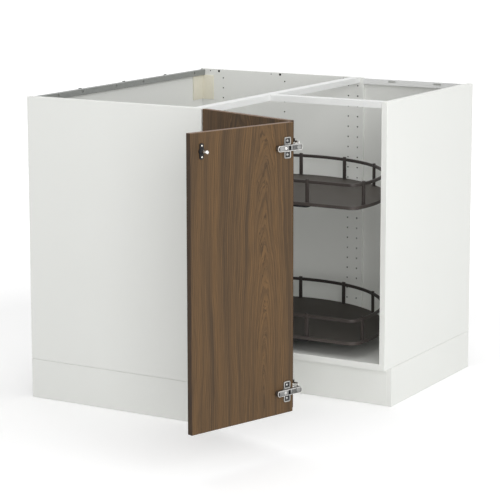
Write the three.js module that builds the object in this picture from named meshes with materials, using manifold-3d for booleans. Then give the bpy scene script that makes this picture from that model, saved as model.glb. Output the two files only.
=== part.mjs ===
// Corner carousel cabinet: an L-shaped base unit with two turning trays on one pole and a folding door
// of two leaves. Millimetres, +Z up. While the cabinet is put together, x runs from the left rear wall
// towards the room, y runs from the left end panel towards the outer back corner, and z is the height
// above the floor.
import * as THREE from "three";
import { mergeGeometries, mergeVertices } from "three/addons/utils/BufferGeometryUtils.js";
import Module from "manifold-3d";

const wasm = await Module();
wasm.setup();

// ---- Driving sizes ------------------------------------------------------------------------------

// Carcass
const wallLength = 952.5; // each outer wall, from the outer back corner to the end of its arm
const armDepth = 580; // depth of both arms, without the doors
const carcassHeight = 762;
const legHeight = 114.3; // from the floor to the underside of the carcass
const board = 18; // thickness of the end panels and the bottom
const backBoard = 3.5; // thickness of the thin backs
const backInset = 3.8; // from a wall plane to the thin back
const grooveDepth = 6; // in the end panels, for the thin backs
const rebateWidth = 8; // in the drilled panel's front end, for the second thin back
const drilledOverhang = 12; // the drilled end panel runs this far past the front plane
const arris = 0.8; // chamfer along the edges of boards
const slack = 0.3; // gap round a piece that sits in or beside another
const overrun = 1; // of a cutter past the face that it cuts

// Sides of round pieces
const holeSides = 6;
const smallSides = 8;
const roundSides = 12;
const poleSides = 20;

// Shelf holes and fittings holes
const shelfHoleRadius = 2.5;
const shelfHoleDepth = 12;
const shelfHolePitch = 32;
const firstRowDrop = 26.5; // from the top of the panel to the first row
const lastRowRise = 50; // the last row lies no nearer than this to the panel's bottom
const rearColumns = [87, 313.5]; // distances from the left rear wall
const frontColumns = [51.5, 19]; // distances from the drilled panel's front end
const camHoleRadius = 4;
const camHoleDrop = 5.5;
const camHoles = [70.5, 296.5]; // distances from the left rear wall
const pilotHoleRadius = 1.8;
const rearPilotHoles = [38, 264]; // distances from the left rear wall
const frontPilotHole = 70; // distance from the drilled panel's front end

// Sheet-steel rails along the top
const sheet = 1.2;
const railWidth = 30;
const wallRailWidth = 17; // of the two rails along the walls
const railHeight = 17;
const railLip = 8;
const wallRailDrop = 2.5; // the top of the wall rails lies this far below the top of the panels
const wallRailHoles = [127, 248.5, 423.5]; // distances from the left end
const farWallRailHoles = [380, 84.5]; // distances from the outer back corner
const wallRailHoleRadius = 3.6;
const wallRailHoleDrop = 6; // below the top of the rail
const lugs = [257, 487]; // raised ears on the left wall rail, distances from the left end
const farLug = 233.5; // distance of the last ear from the outer back corner
const lugLength = 14;
const slotsFromEnds = [97.7, 92.2]; // from the rear rail's ends to the middles of its long slots
const slotLength = 24;
const slotHeight = 6;

// Corner bracket
const bracketHeight = 78;
const bracketWallLeg = 58;
const bracketPanelLeg = 44;
const bracketThickness = 3;

// Legs and plinth
const legInset = 60; // from a carcass edge to a leg's centre
const legRadius = 19;
const legNarrowing = 2; // of the leg's radius at its lower end
const legTubeBottom = 30;
const legTaperTop = 60; // the leg has its full radius from here up
const legFlangeRadius = 32;
const legFlange = 4;
const legFlangeCone = 8; // height of the cone under the flange
const spindleRadius = 9;
const spindleRoom = 24.3; // from the spindle's top to the carcass
const footRadius = 30;
const footHeight = 8;
const footEdge = 2; // chamfer round the foot's underside
const footBossRadius = 13;
const footBossTop = 12.8;
const footNeckTop = 16;
const plinthThickness = 16;
const plinthSetBack = 46;
const plinthGap = 0.5; // under the carcass
const clipHeight = 28;
const clipWall = 3.5;
const clipDrop = 18.3; // from the carcass to a clip's top
const clipPlate = 34; // width of the plate that meets the plinth
const clipMouth = 30.4; // width of the opening through which a clip is pushed on
const clipMouthDepth = 9.5; // from a leg's axis to that opening

// Pole and bearings
const poleRadius = 16;
const poleWall = 2;
const poleLength = 568.7;
const poleSetBack = 103.75; // from the front planes to the pole's axis
const flangeRadius = 75;
const flangeThickness = 4;
const plugLength = 30;
const capThickness = 3;
const turnGap = 0.4; // between the pole and what turns on it
const collarRadius = 26;
const collarHeight = 12;

// Trays
const trayRoom = 77.25; // between a tray's rim and the nearest panel
const traySetBack = 13.75; // from the front planes to a tray's straight edges
const trayThickness = 10;
const trayCorner = 30; // outer corners of the notch
const notchCorner = 30; // inner corner of the notch
const trayRises = { lower: 38.9, upper: 430.5 }; // from the carcass floor to a tray's underside
const arcSteps = 40;
const cornerSteps = 4;
const bandThickness = 6; // of a gallery's band, in plan
const bandHeight = 9.5;
const bandSides = 8;
const bandLevel = 69.5; // of the band's axis above the underside of a tray
const galleryInset = 8;
const postRadius = 5;
const postSides = 6;
const postRise = 3; // of a post's cap above the band's top
const cornerPost = -5.7; // direction of the post at an outer corner, degrees from +x
const nextPost = 24.8; // direction of the post after it
const postsPerSide = 5; // from that one to the tray's diagonal
const notchPost = 214; // from the pole's axis to the post on a straight edge
const carrierThickness = 5;
const carrierWing = 44; // width
const carrierReach = 217;
const carrierInset = 1; // from a tray's straight edge to the wing under it
const carrierDisc = 62;
const sleeveRadius = 24;
const sleeveRise = 26; // of the sleeve above the tray
const sleeveDrop = 14; // of the sleeve below the carrier

// Door leaves
const leafThickness = 16;
const cornerGap = 28; // from the inner corner of the fronts to the edge of a closed leaf
const leafArris = 0.8;
const frontGap = 3; // between a closed leaf and the carcass
const reveal = 1.5; // from a closed leaf's edge to the carcass's edge
const swingAtRest = 108; // degrees that the door stands open

// Hinges
const hingeFromEnd = { lower: 57, upper: 64 }; // from a leaf's bottom and top to the middle of a hinge
const cupRadius = 17.5;
const cupFloor = 3.5; // of the leaf, under a cup
const cupWall = 1;
const cupInset = 24; // from a leaf's edge to the middle of a cup
const cupFlange = 1.2;
const cupFlangeWidth = 28;
const cupFlangeHeight = 52;
const cupMouth = 8.75; // from a cup's middle to the opening in its wall
const cheekReach = 14; // from a cup's middle to the cheeks that hold its pin
const pinRadius = 2;
const swingPinInset = 5.5; // from a leaf's edge
const eyeRadius = 4;
const eyeHeight = 12;
const cheek = 2; // thickness of the cheeks that hold a pin
const mortiseHeight = 18.4; // of the slots in a leaf's edges
const foldPinDepth = 7; // behind the plane of the inner leaf's inner face
const foldPinRise = 7.5; // in front of the plane of the outer leaf's inner face
const linkHeight = 10;
const linkThickness = 4;
const plateThickness = 2.5;
const plateWidth = 22.5;
const plateHeight = 55;
const plateArris = 0.6;
const plateFromArmEnd = 22; // from the arm's free end to the middle of its plate
const armLength = 62.5;
const armHeight = 16;
const armRise = 9.5; // of the arm over its plate
const armBaseInset = 2; // of the block under an arm from the arm's sides and ends
const armScrewSlot = 6;
const armSlotOffset = 5; // from the plate's middle to the middle of the screw slot
const armSlotDepth = 3.2;
const swingArmSetBack = 15; // from the front edge of the end panel to the arm's free end
const neckThickness = 1.8;
const neckOffset = 4.6; // of the neck from the end panel's inner face
const neckOverhang = 1; // of the neck's bend past the end panel's front edge
const armOverlap = 4; // of a shank into the arm that carries it
const bridgeOverlap = 2; // of the fold arm's nose over the leaf

// Catch on the outer leaf
const catchFromEdge = 34.5;
const catchFromTop = 46.5;
const catchWidth = 12;
const catchHeight = 39;
const catchPlate = 4;
const catchBossRadius = 7;
const catchBoss = 6;
const plungerRadius = 4.5;
const plungerReach = 25; // out of the leaf's face
const plungerTravel = 10;

// ---- Places worked out from them ----------------------------------------------------------------

const top = legHeight + carcassHeight;
const floorOfCarcass = legHeight + board;
const sideFront = wallLength - armDepth; // the front plane of the second arm
const panelInside = wallLength - board;
const drilledEnd = armDepth + drilledOverhang;
const backFace = backInset + backBoard;
const poleX = armDepth - poleSetBack; // the pole stands on the diagonal of both arms
const poleY = wallLength - poleX;
const poleTop = floorOfCarcass + flangeThickness + poleLength;
const trayRadius = Math.min(poleX - backFace, panelInside - poleX) - trayRoom;
const notchOffset = poleSetBack - traySetBack; // from the pole's axis to a tray's straight edges
const spindleTop = legHeight - spindleRoom;
const clipTop = legHeight - clipDrop;
const railTop = top - wallRailDrop;
const leafBottom = legHeight + reveal;
const leafHeight = carcassHeight - 2 * reveal;
const leafWidth = sideFront - reveal - cornerGap;
const cupDepth = leafThickness - cupFloor;
const hingeHeights = {
  lower: leafBottom + hingeFromEnd.lower,
  upper: leafBottom + leafHeight - hingeFromEnd.upper,
};
const swingPin = new THREE.Vector2(armDepth + frontGap + leafThickness / 2, reveal + swingPinInset);
const foldPin = new THREE.Vector2(armDepth + frontGap + foldPinDepth, sideFront - frontGap - foldPinRise);

// ---- Solids -------------------------------------------------------------------------------------

/** A closed geometry as a solid that can be cut and joined. */
function solid(geometry) {
  const bare = geometry.clone();
  bare.deleteAttribute("normal");
  bare.deleteAttribute("uv");
  const merged = mergeVertices(bare, 1e-4);
  return new wasm.Manifold(
    new wasm.Mesh({
      numProp: 3,
      vertProperties: merged.attributes.position.array,
      triVerts: new Uint32Array(merged.index.array),
    }),
  );
}

/** A solid as a geometry again, with flat faces. */
function surface(body) {
  const mesh = body.getMesh();
  const indexed = new THREE.BufferGeometry();
  indexed.setAttribute("position", new THREE.BufferAttribute(mesh.vertProperties, 3));
  indexed.setIndex(new THREE.BufferAttribute(mesh.triVerts, 1));
  const flat = indexed.toNonIndexed();
  flat.computeVertexNormals();
  return flat;
}

/** The base geometry with others joined to it. */
const join = (base, ...others) => surface(others.reduce((sum, g) => sum.add(solid(g)), solid(base)));

/** The base geometry less others, each closed and clear of the rest. */
function cut(base, ...others) {
  const cutter = solid(mergeGeometries(others.map(bareCopy)));
  return surface(solid(base).subtract(cutter));
}

/** A geometry with positions only, so that unlike ones can be merged. */
function bareCopy(geometry) {
  const copy = geometry.index ? geometry.toNonIndexed() : geometry.clone();
  copy.deleteAttribute("normal");
  copy.deleteAttribute("uv");
  return copy;
}

/** A plain block between two corners. */
function block([x0, x1], [y0, y1], [z0, z1]) {
  const centre = [(x0 + x1) / 2, (y0 + y1) / 2, (z0 + z1) / 2];
  return new THREE.BoxGeometry(x1 - x0, y1 - y0, z1 - z0).translate(...centre);
}

/** An upright prism over a plan outline, with its top and bottom edges chamfered by c. */
function prism(points, [z0, z1], c = 0, holes = []) {
  const shape = new THREE.Shape(points.map(([x, y]) => new THREE.Vector2(x, y)));
  shape.holes = holes.map((hole) => new THREE.Path(hole.map(([x, y]) => new THREE.Vector2(x, y))));
  return new THREE.ExtrudeGeometry(shape, {
    depth: z1 - z0 - 2 * c,
    bevelEnabled: c > 0,
    bevelSize: c,
    bevelOffset: -c,
    bevelThickness: c,
    bevelSegments: 1,
  }).translate(0, 0, z0 + c);
}

/** A rectangular board between two corners, with every edge chamfered by c. */
function chamfered([x0, x1], [y0, y1], z, c = arris) {
  const outline = [
    [x0 + c, y0], [x1 - c, y0], [x1, y0 + c], [x1, y1 - c],
    [x1 - c, y1], [x0 + c, y1], [x0, y1 - c], [x0, y0 + c],
  ];
  return prism(outline, z, c);
}

/** A turned piece: a profile of [radius, height] points about the vertical axis. */
function turned(profile, sides = roundSides) {
  const points = profile.map(([r, z]) => new THREE.Vector2(r, z));
  return new THREE.LatheGeometry(points, sides).rotateX(Math.PI / 2);
}

/** A ring with a rectangular section about the vertical axis. */
const ring = (inner, outer, [z0, z1], sides = roundSides) =>
  turned([[inner, z0], [outer, z0], [outer, z1], [inner, z1], [inner, z0]], sides);

/** A cylinder of one radius along x, y or z, from one value on that axis to another. */
function rod(axis, radius, [from, to], sides = roundSides) {
  const geometry = new THREE.CylinderGeometry(radius, radius, to - from, sides);
  geometry.translate(0, (from + to) / 2, 0);
  if (axis === "x") return geometry.rotateZ(-Math.PI / 2);
  if (axis === "z") return geometry.rotateX(Math.PI / 2);
  return geometry;
}

/** Points on an arc from one angle to another, both in radians. */
function arc(x, y, radius, from, to, steps) {
  return Array.from({ length: steps + 1 }, (_, i) => {
    const a = from + ((to - from) * i) / steps;
    return [x + radius * Math.cos(a), y + radius * Math.sin(a)];
  });
}

// ---- The assembly -------------------------------------------------------------------------------

/** A plain finish. */
function finish(color, roughness, metalness = 0) {
  return new THREE.MeshStandardMaterial({ color, roughness, metalness });
}

const whiteFoil = finish(0xeceeea, 0.5);
const whiteSteel = finish(0xf2f3f1, 0.4, 0.1);
const galvanised = finish(0xaab0b2, 0.4, 0.8);
const creamPlastic = finish(0xddd8c6, 0.55);
const blackPlastic = finish(0x1c1c1d, 0.5);
const greyBoard = finish(0x4b4744, 0.6);
const greySteel = finish(0x35312f, 0.5, 0.3);
const nickel = finish(0xc9c9c6, 0.25, 1);
const walnut = finish(0x735a41, 0.45);

const cabinet = new THREE.Group();

/** Adds one named piece to a group. */
function place(group, name, geometry, material, [x, y, z] = [0, 0, 0]) {
  const mesh = new THREE.Mesh(geometry, material);
  mesh.name = name;
  mesh.position.set(x, y, z);
  group.add(mesh);
  return mesh;
}

// ---- Carcass ------------------------------------------------------------------------------------

const panelZ = [legHeight, top];
const through = [legHeight - overrun, top + overrun];

function leftEndPanel() {
  const panel = chamfered([0, armDepth], [0, board], panelZ);
  const grooveY = [board - grooveDepth, board + overrun];
  const groove = block([backInset - slack, backFace + slack], grooveY, through);
  return cut(panel, groove);
}

function rightEndPanel() {
  const panel = chamfered([panelInside, wallLength], [sideFront, wallLength], panelZ);
  const groove = block(
    [panelInside - overrun, panelInside + grooveDepth],
    [wallLength - backFace - slack, wallLength - backInset + slack],
    through,
  );
  return cut(panel, groove);
}

function drilledEndPanel() {
  const panel = chamfered([0, drilledEnd], [panelInside, wallLength], panelZ);
  const groove = block(
    [backInset - slack, backFace + slack],
    [panelInside - overrun, panelInside + grooveDepth],
    through,
  );
  const rebate = block(
    [drilledEnd - rebateWidth, drilledEnd + overrun],
    [wallLength - backFace - slack, wallLength + overrun],
    through,
  );
  const span = [panelInside - overrun, panelInside + shelfHoleDepth];
  const fromFront = (distance) => drilledEnd - distance;
  const drop = carcassHeight - firstRowDrop - lastRowRise;
  const count = Math.floor(drop / shelfHolePitch) + 1;
  const rows = Array.from({ length: count }, (_, row) => top - firstRowDrop - row * shelfHolePitch);
  const columns = [...rearColumns, ...frontColumns.map(fromFront)];
  const holes = columns.flatMap((x) =>
    rows.map((row) => rod("y", shelfHoleRadius, span, holeSides).translate(x, 0, row)),
  );
  const z = top - camHoleDrop;
  const cams = camHoles.map((x) => rod("y", camHoleRadius, span, smallSides).translate(x, 0, z));
  const pilots = [...rearPilotHoles, fromFront(frontPilotHole)].map((x) =>
    rod("y", pilotHoleRadius, span, holeSides).translate(x, 0, z),
  );
  return cut(panel, groove, rebate, ...holes, ...cams, ...pilots);
}

const backZ = [legHeight, railTop - 2 * sheet];
place(cabinet, "left_end_panel", leftEndPanel(), whiteFoil);
place(cabinet, "right_end_panel", rightEndPanel(), whiteFoil);
place(cabinet, "drilled_end_panel", drilledEndPanel(), whiteFoil);
place(
  cabinet,
  "left_back",
  block([backInset, backFace], [board - grooveDepth + slack, panelInside + grooveDepth - slack], backZ),
  whiteFoil,
);
place(
  cabinet,
  "rear_back",
  block(
    [drilledEnd - rebateWidth + slack, panelInside + grooveDepth - slack],
    [wallLength - backFace, wallLength - backInset],
    backZ,
  ),
  whiteFoil,
);

const bottomZ = [legHeight, floorOfCarcass];
const mainBottom = chamfered([backFace + slack, armDepth], [board, panelInside], bottomZ, arris / 2);
place(cabinet, "main_bottom", mainBottom, whiteFoil);

/** The second arm's bottom, cut round the front end of the drilled panel. */
function sideBottom() {
  const rear = wallLength - backFace - slack;
  const outline = [
    [armDepth, sideFront], [panelInside, sideFront], [panelInside, rear],
    [drilledEnd + slack, rear], [drilledEnd + slack, panelInside - slack], [armDepth, panelInside - slack],
  ];
  return prism(outline, bottomZ);
}
place(cabinet, "side_bottom", sideBottom(), whiteFoil);

// ---- Rails --------------------------------------------------------------------------------------

/**
 * A folded rail along x from 0 to length, with its face in the plane y = 0, its flange towards +y and
 * its top at z = 0. A tab is folded down inside each end, as wide as what stands under the flange allows.
 */
function foldedRail(length, width, tabWidth) {
  const section = new THREE.Shape(
    [
      [0, 0], [0, -railHeight], [sheet, -railHeight], [sheet, -sheet],
      [width - sheet, -sheet], [width - sheet, -railLip], [width, -railLip], [width, 0],
    ].map(([y, z]) => new THREE.Vector2(y, z)),
  );
  const turn = new THREE.Matrix4().makeBasis(
    new THREE.Vector3(0, 1, 0),
    new THREE.Vector3(0, 0, 1),
    new THREE.Vector3(1, 0, 0),
  );
  const channel = new THREE.ExtrudeGeometry(section, { depth: length, bevelEnabled: false });
  channel.applyMatrix4(turn);
  const tabY = [sheet / 2, tabWidth];
  const tabZ = [-railHeight + sheet, -sheet / 2];
  const ends = [slack, length - slack - sheet];
  return join(channel, ...ends.map((x) => block([x, x + sheet], tabY, tabZ)));
}

const wallRailTab = wallRailWidth + sheet - backFace - slack; // clear of the thin back in the channel
const faceCut = [-overrun, sheet + overrun]; // of a cutter through a rail's face

/** The left wall's rail: round holes through its face and three ears raised from its top. */
function leftWallRail() {
  const length = panelInside - board - 2 * slack;
  const start = board + slack;
  const rail = foldedRail(length, wallRailWidth, wallRailTab);
  const fromCorner = (distance) => wallLength - distance;
  const earY = [wallRailWidth - 2 * sheet, wallRailWidth - slack];
  const earZ = [-sheet / 2, wallRailDrop];
  const ears = [...lugs, fromCorner(farLug)].map((y) =>
    block([y - start - lugLength / 2, y - start + lugLength / 2], earY, earZ),
  );
  const holes = [...wallRailHoles, ...farWallRailHoles.map(fromCorner)].map((y) =>
    rod("y", wallRailHoleRadius, faceCut, smallSides).translate(y - start, 0, -wallRailHoleDrop),
  );
  return cut(join(rail, ...ears), ...holes);
}

/** The rear wall's rail: two long slots through its face. */
function rearWallRail() {
  const start = drilledEnd + slack;
  const length = panelInside - slack - start;
  const slotZ = [-wallRailHoleDrop - slotHeight / 2, -wallRailHoleDrop + slotHeight / 2];
  const slots = [slotsFromEnds[0], length - slotsFromEnds[1]].map((x) =>
    block([x - slotLength / 2, x + slotLength / 2], faceCut, slotZ),
  );
  return cut(foldedRail(length, wallRailWidth, wallRailTab), ...slots);
}

/** Adds a rail turned about the vertical by quarter turns, with its first end at a point. */
function placeRail(name, geometry, material, quarterTurns, position) {
  place(cabinet, name, geometry.rotateZ((quarterTurns * Math.PI) / 2), material, position);
}

const frontRailLength = panelInside - board - 2 * slack;
const shortRailLength = panelInside - armDepth - 2 * slack;
const frontRailTab = railWidth - sheet / 2;
const longFrontRail = foldedRail(frontRailLength, railWidth, frontRailTab);
const shortFrontRail = foldedRail(shortRailLength, railWidth, frontRailTab);
const wallRailFace = wallRailWidth + sheet; // distance of a wall rail's face from the wall
placeRail("long_front_rail", longFrontRail, whiteSteel, 1, [armDepth, board + slack, top]);
placeRail("short_front_rail", shortFrontRail, whiteSteel, 0, [armDepth + slack, sideFront, top]);
placeRail("left_wall_rail", leftWallRail(), galvanised, 1, [wallRailFace, board + slack, railTop]);
const rearRailEnd = [drilledEnd + slack, wallLength - wallRailFace, railTop];
placeRail("rear_wall_rail", rearWallRail(), whiteSteel, 0, rearRailEnd);

/** The moulded bracket in the back corner: two legs against the left back and the drilled panel. */
function cornerBracket() {
  const x0 = backFace + slack;
  const y1 = panelInside - slack;
  const outline = [
    [x0, y1], [x0, y1 - bracketWallLeg], [x0 + bracketThickness, y1 - bracketWallLeg],
    [x0 + bracketThickness, y1 - bracketThickness], [x0 + bracketPanelLeg, y1 - bracketThickness],
    [x0 + bracketPanelLeg, y1],
  ];
  const z1 = railTop - railHeight - slack;
  return prism(outline, [z1 - bracketHeight, z1]);
}
place(cabinet, "corner_bracket", cornerBracket(), creamPlastic);

// ---- Legs and plinth ----------------------------------------------------------------------------

const plinthFront = armDepth - plinthSetBack; // front of the plinth under the first arm
const sidePlinthFront = sideFront + plinthSetBack;
const frontLegLine = plinthFront - legInset;
const sideLegLine = sidePlinthFront + legInset;
const farLegLine = wallLength - legInset;
const legPlaces = {
  left_rear: [legInset, legInset],
  left_front: [frontLegLine, legInset],
  back_corner: [legInset, farLegLine],
  inner_corner: [frontLegLine, sideLegLine],
  rear_middle: [frontLegLine, farLegLine],
  right_front: [farLegLine, sideLegLine],
  right_rear: [farLegLine, farLegLine],
};

const legBore = spindleRadius + slack;
const legProfile = [
  [0, spindleTop + slack], [legBore, spindleTop + slack], [legBore, legTubeBottom],
  [legRadius - legNarrowing, legTubeBottom], [legRadius, legTaperTop],
  [legRadius, legHeight - legFlange - legFlangeCone], [legFlangeRadius, legHeight - legFlange],
  [legFlangeRadius, legHeight], [0, legHeight],
];
const footProfile = [
  [0, 0], [footRadius - footEdge, 0], [footRadius, footEdge], [footRadius, footHeight],
  [footBossRadius, footBossTop], [spindleRadius, footNeckTop], [spindleRadius, spindleTop],
  [0, spindleTop],
];
for (const [where, [x, y]] of Object.entries(legPlaces)) {
  place(cabinet, `leg_${where}`, turned(legProfile), blackPlastic, [x, y, 0]);
  place(cabinet, `foot_${where}`, turned(footProfile), blackPlastic, [x, y, 0]);
}

const plinthZ = [0, legHeight - plinthGap];
const plinthBack = plinthFront - plinthThickness;
const sidePlinthBack = sidePlinthFront + plinthThickness;
const rightPlinthInside = wallLength - plinthThickness;
const plinths = {
  left_plinth: [[0, plinthFront], [0, plinthThickness]],
  front_plinth: [[plinthBack, plinthFront], [plinthThickness, sidePlinthBack]],
  side_front_plinth: [[plinthFront, rightPlinthInside], [sidePlinthFront, sidePlinthBack]],
  right_plinth: [[rightPlinthInside, wallLength], [sidePlinthFront, wallLength]],
};
for (const [name, [x, y]] of Object.entries(plinths)) {
  place(cabinet, name, chamfered(x, y, plinthZ), whiteFoil);
}

/** A clip round a leg whose plate meets a plinth board at a distance along +x. */
function plinthClip(distance) {
  const z = [clipTop - clipHeight, clipTop];
  const outer = legRadius + clipWall;
  const hoop = ring(legRadius + slack, outer, z);
  const mouthX = [-outer - overrun, -clipMouthDepth];
  const mouth = block(mouthX, [-clipMouth / 2, clipMouth / 2], [z[0] - overrun, z[1] + overrun]);
  const open = cut(hoop, mouth);
  const arm = block([outer - clipWall / 2, distance - clipWall / 2], [-clipWall, clipWall], z);
  const plate = block([distance - clipWall, distance], [-clipPlate / 2, clipPlate / 2], z);
  return join(open, arm, plate);
}

const clipReach = legInset - plinthThickness; // every board lies this far from its leg's axis
const clips = {
  left_rear: -1,
  left_front: 0,
  right_front: -1,
  right_rear: 0,
};
for (const [where, quarterTurns] of Object.entries(clips)) {
  const [x, y] = legPlaces[where];
  const clip = plinthClip(clipReach).rotateZ((quarterTurns * Math.PI) / 2);
  place(cabinet, `plinth_clip_${where}`, clip, blackPlastic, [x, y, 0]);
}

// ---- Pole and trays -----------------------------------------------------------------------------

const poleBottom = floorOfCarcass + flangeThickness;
const poleBore = poleRadius - poleWall;
const poleFoot = turned(
  [
    [0, floorOfCarcass], [flangeRadius, floorOfCarcass], [flangeRadius, poleBottom],
    [poleBore - slack, poleBottom], [poleBore - slack, poleBottom + plugLength],
    [0, poleBottom + plugLength],
  ],
  poleSides,
);
const poleCap = turned(
  [
    [0, poleTop - plugLength], [poleBore - slack, poleTop - plugLength], [poleBore - slack, poleTop],
    [poleRadius, poleTop], [poleRadius, poleTop + capThickness], [0, poleTop + capThickness],
  ],
  poleSides,
);
const poleAt = [poleX, poleY, 0];
place(cabinet, "pole_foot", poleFoot, greySteel, poleAt);
place(cabinet, "pole", ring(poleBore, poleRadius, [poleBottom, poleTop], poleSides), greySteel, poleAt);
place(cabinet, "pole_cap", poleCap, blackPlastic, poleAt);

/**
 * A tray's plan outline about the pole, drawn inset from the real edge: three quarters of a disc whose
 * missing quarter faces +x and -y, with rounded corners. Every inset gives the same number of points.
 */
function trayOutline(inset) {
  const radius = trayRadius - inset;
  const edge = notchOffset - inset;
  const corner = trayCorner - inset;
  const innerCorner = notchCorner + inset;
  const reach = Math.sqrt((radius - corner) ** 2 - (edge - corner) ** 2);
  const lean = Math.atan2(edge - corner, reach); // from +x down to the first corner's centre
  const half = Math.PI / 2;
  return [
    ...arc(0, 0, radius, -lean, 3 * half + lean, arcSteps),
    ...arc(edge - corner, -reach, corner, 3 * half + lean, 4 * half, cornerSteps).slice(1),
    ...arc(edge + innerCorner, -edge - innerCorner, innerCorner, 2 * half, half, cornerSteps),
    ...arc(reach, corner - edge, corner, -half, -lean, cornerSteps).slice(0, -1),
  ];
}

/** A band standing on edge, bent along the tray's outline at an inset and closed on itself. */
function bentBand(inset, z) {
  const overFlats = 2 * Math.cos(Math.PI / bandSides); // from a section's corners to its flat sides
  const rows = Array.from({ length: bandSides }, (_, k) => {
    const a = (2 * Math.PI * (k + 0.5)) / bandSides;
    const outline = trayOutline(inset - (bandThickness * Math.cos(a)) / overFlats);
    return outline.map(([x, y]) => [x, y, z + (bandHeight * Math.sin(a)) / overFlats]);
  });
  const count = rows[0].length;
  const index = [];
  for (let k = 0; k < bandSides; k += 1) {
    const next = (k + 1) % bandSides;
    for (let i = 0; i < count; i += 1) {
      const j = (i + 1) % count;
      const [a, b, c, d] = [k * count + i, k * count + j, next * count + j, next * count + i];
      index.push(a, b, c, a, c, d);
    }
  }
  const geometry = new THREE.BufferGeometry();
  geometry.setAttribute("position", new THREE.Float32BufferAttribute(rows.flat(2), 3));
  geometry.setIndex(index);
  return geometry.toNonIndexed();
}

/** Plan places of a gallery's posts about the pole, alike on both sides of the tray's diagonal. */
function postPlaces() {
  const radius = trayRadius - galleryInset;
  const edge = notchOffset - galleryInset;
  const diagonal = 135;
  const step = (diagonal - nextPost) / (postsPerSide - 0.5);
  const side = [cornerPost, ...Array.from({ length: postsPerSide }, (_, i) => nextPost + i * step)];
  const directions = side.flatMap((direction) => [direction, 2 * diagonal - direction]);
  const onArc = directions.map((d) => {
    const a = THREE.MathUtils.degToRad(d);
    return [radius * Math.cos(a), radius * Math.sin(a)];
  });
  const innerCorner = edge + (notchCorner + galleryInset) * (1 - Math.SQRT1_2);
  return [...onArc, [notchPost, -edge], [edge, -notchPost], [innerCorner, -innerCorner]];
}

/** The band and its posts, standing on a tray whose underside is at z = 0. */
function gallery() {
  const postZ = [trayThickness, bandLevel + bandHeight / 2 + postRise];
  const posts = postPlaces().map(([x, y]) => rod("z", postRadius, postZ, postSides).translate(x, y, 0));
  return join(bentBand(galleryInset, bandLevel), ...posts);
}

/** The plate under a tray, with a wing along each straight edge, and the sleeve that turns on the pole. */
function carrier() {
  const z = [-carrierThickness, 0];
  const sleeveZ = [z[0] - sleeveDrop, trayThickness + sleeveRise];
  const along = [-carrierDisc, carrierReach];
  const wingEdge = carrierInset - notchOffset;
  const across = [wingEdge, wingEdge + carrierWing];
  const mirrored = ([a, b]) => [-b, -a];
  const plate = join(
    rod("z", carrierDisc, z, poleSides),
    block(along, across, z),
    block(mirrored(across), mirrored(along), z),
    rod("z", sleeveRadius, sleeveZ, poleSides),
  );
  const boreZ = [sleeveZ[0] - overrun, sleeveZ[1] + overrun];
  return cut(plate, rod("z", poleRadius + turnGap, boreZ, poleSides));
}

for (const [level, rise] of Object.entries(trayRises)) {
  const height = floorOfCarcass + rise;
  const group = new THREE.Group();
  group.position.set(poleX, poleY, height);
  cabinet.add(group);
  const opening = arc(0, 0, sleeveRadius + slack, 0, -2 * Math.PI, poleSides).slice(0, -1);
  const tray = prism(trayOutline(0), [0, trayThickness], arris, [opening]);
  place(group, `${level}_tray`, tray, greyBoard);
  place(group, `${level}_gallery`, gallery(), greySteel);
  place(group, `${level}_carrier`, carrier(), blackPlastic);
  const collarTop = height - carrierThickness - sleeveDrop - slack;
  const collarZ = [collarTop - collarHeight, collarTop];
  const collar = ring(poleRadius + slack / 2, collarRadius, collarZ, poleSides);
  place(cabinet, `${level}_collar`, collar, blackPlastic, poleAt);
}

// ---- Doors --------------------------------------------------------------------------------------
// The leaves are drawn closed, in the cabinet's own plan, then moved so that the swing pin is their
// group's origin and turned to where they stand open.

const swing = new THREE.Group();
swing.position.set(swingPin.x, swingPin.y, 0);
swing.rotation.z = -THREE.MathUtils.degToRad(swingAtRest);
cabinet.add(swing);
const leaves = new THREE.Group();
leaves.position.set(-swingPin.x, -swingPin.y, 0);
swing.add(leaves);

const innerX = [armDepth + frontGap, armDepth + frontGap + leafThickness];
const innerY = [reveal, reveal + leafWidth];
const outerX = [wallLength - reveal - leafWidth, wallLength - reveal];
const outerY = [sideFront - frontGap - leafThickness, sideFront - frontGap];
const leafZ = [leafBottom, leafBottom + leafHeight];
const cupYs = { swing: innerY[0] + cupInset, fold: innerY[1] - cupInset };
const eyeReach = eyeRadius + 2 * slack;

/** The leaf next to the left end panel, bored for its cups and slotted at both edges for the hinges. */
function innerLeaf() {
  const cutters = [];
  for (const z of Object.values(hingeHeights)) {
    const slotZ = [z - mortiseHeight / 2, z + mortiseHeight / 2];
    const cutFrom = innerX[0] - overrun;
    const boreX = [cutFrom, innerX[0] + cupDepth];
    const bore = (y) => rod("x", cupRadius, boreX, poleSides).translate(0, y, z);
    const swingSlotY = [innerY[0] - overrun, cupYs.swing];
    const foldSlotY = [cupYs.fold, innerY[1] + overrun];
    const swingSlot = block([cutFrom, swingPin.x + eyeReach], swingSlotY, slotZ);
    const foldSlot = block([cutFrom, foldPin.x + eyeReach], foldSlotY, slotZ);
    cutters.push(join(bore(cupYs.swing), swingSlot), join(bore(cupYs.fold), foldSlot));
  }
  return cut(chamfered(innerX, innerY, leafZ, leafArris), ...cutters);
}

const catchX = outerX[1] - catchFromEdge;
const catchZ = leafZ[1] - catchFromTop;

/** The leaf next to the right end panel, bored for the catch's plunger. */
function outerLeaf() {
  const span = [outerY[1] - plungerTravel - overrun, outerY[1] + overrun];
  const bore = rod("y", plungerRadius + 2 * slack, span).translate(catchX, 0, catchZ);
  return cut(chamfered(outerX, outerY, leafZ, leafArris), bore);
}
place(leaves, "inner_leaf", innerLeaf(), walnut);
place(leaves, "outer_leaf", outerLeaf(), walnut);

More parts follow.
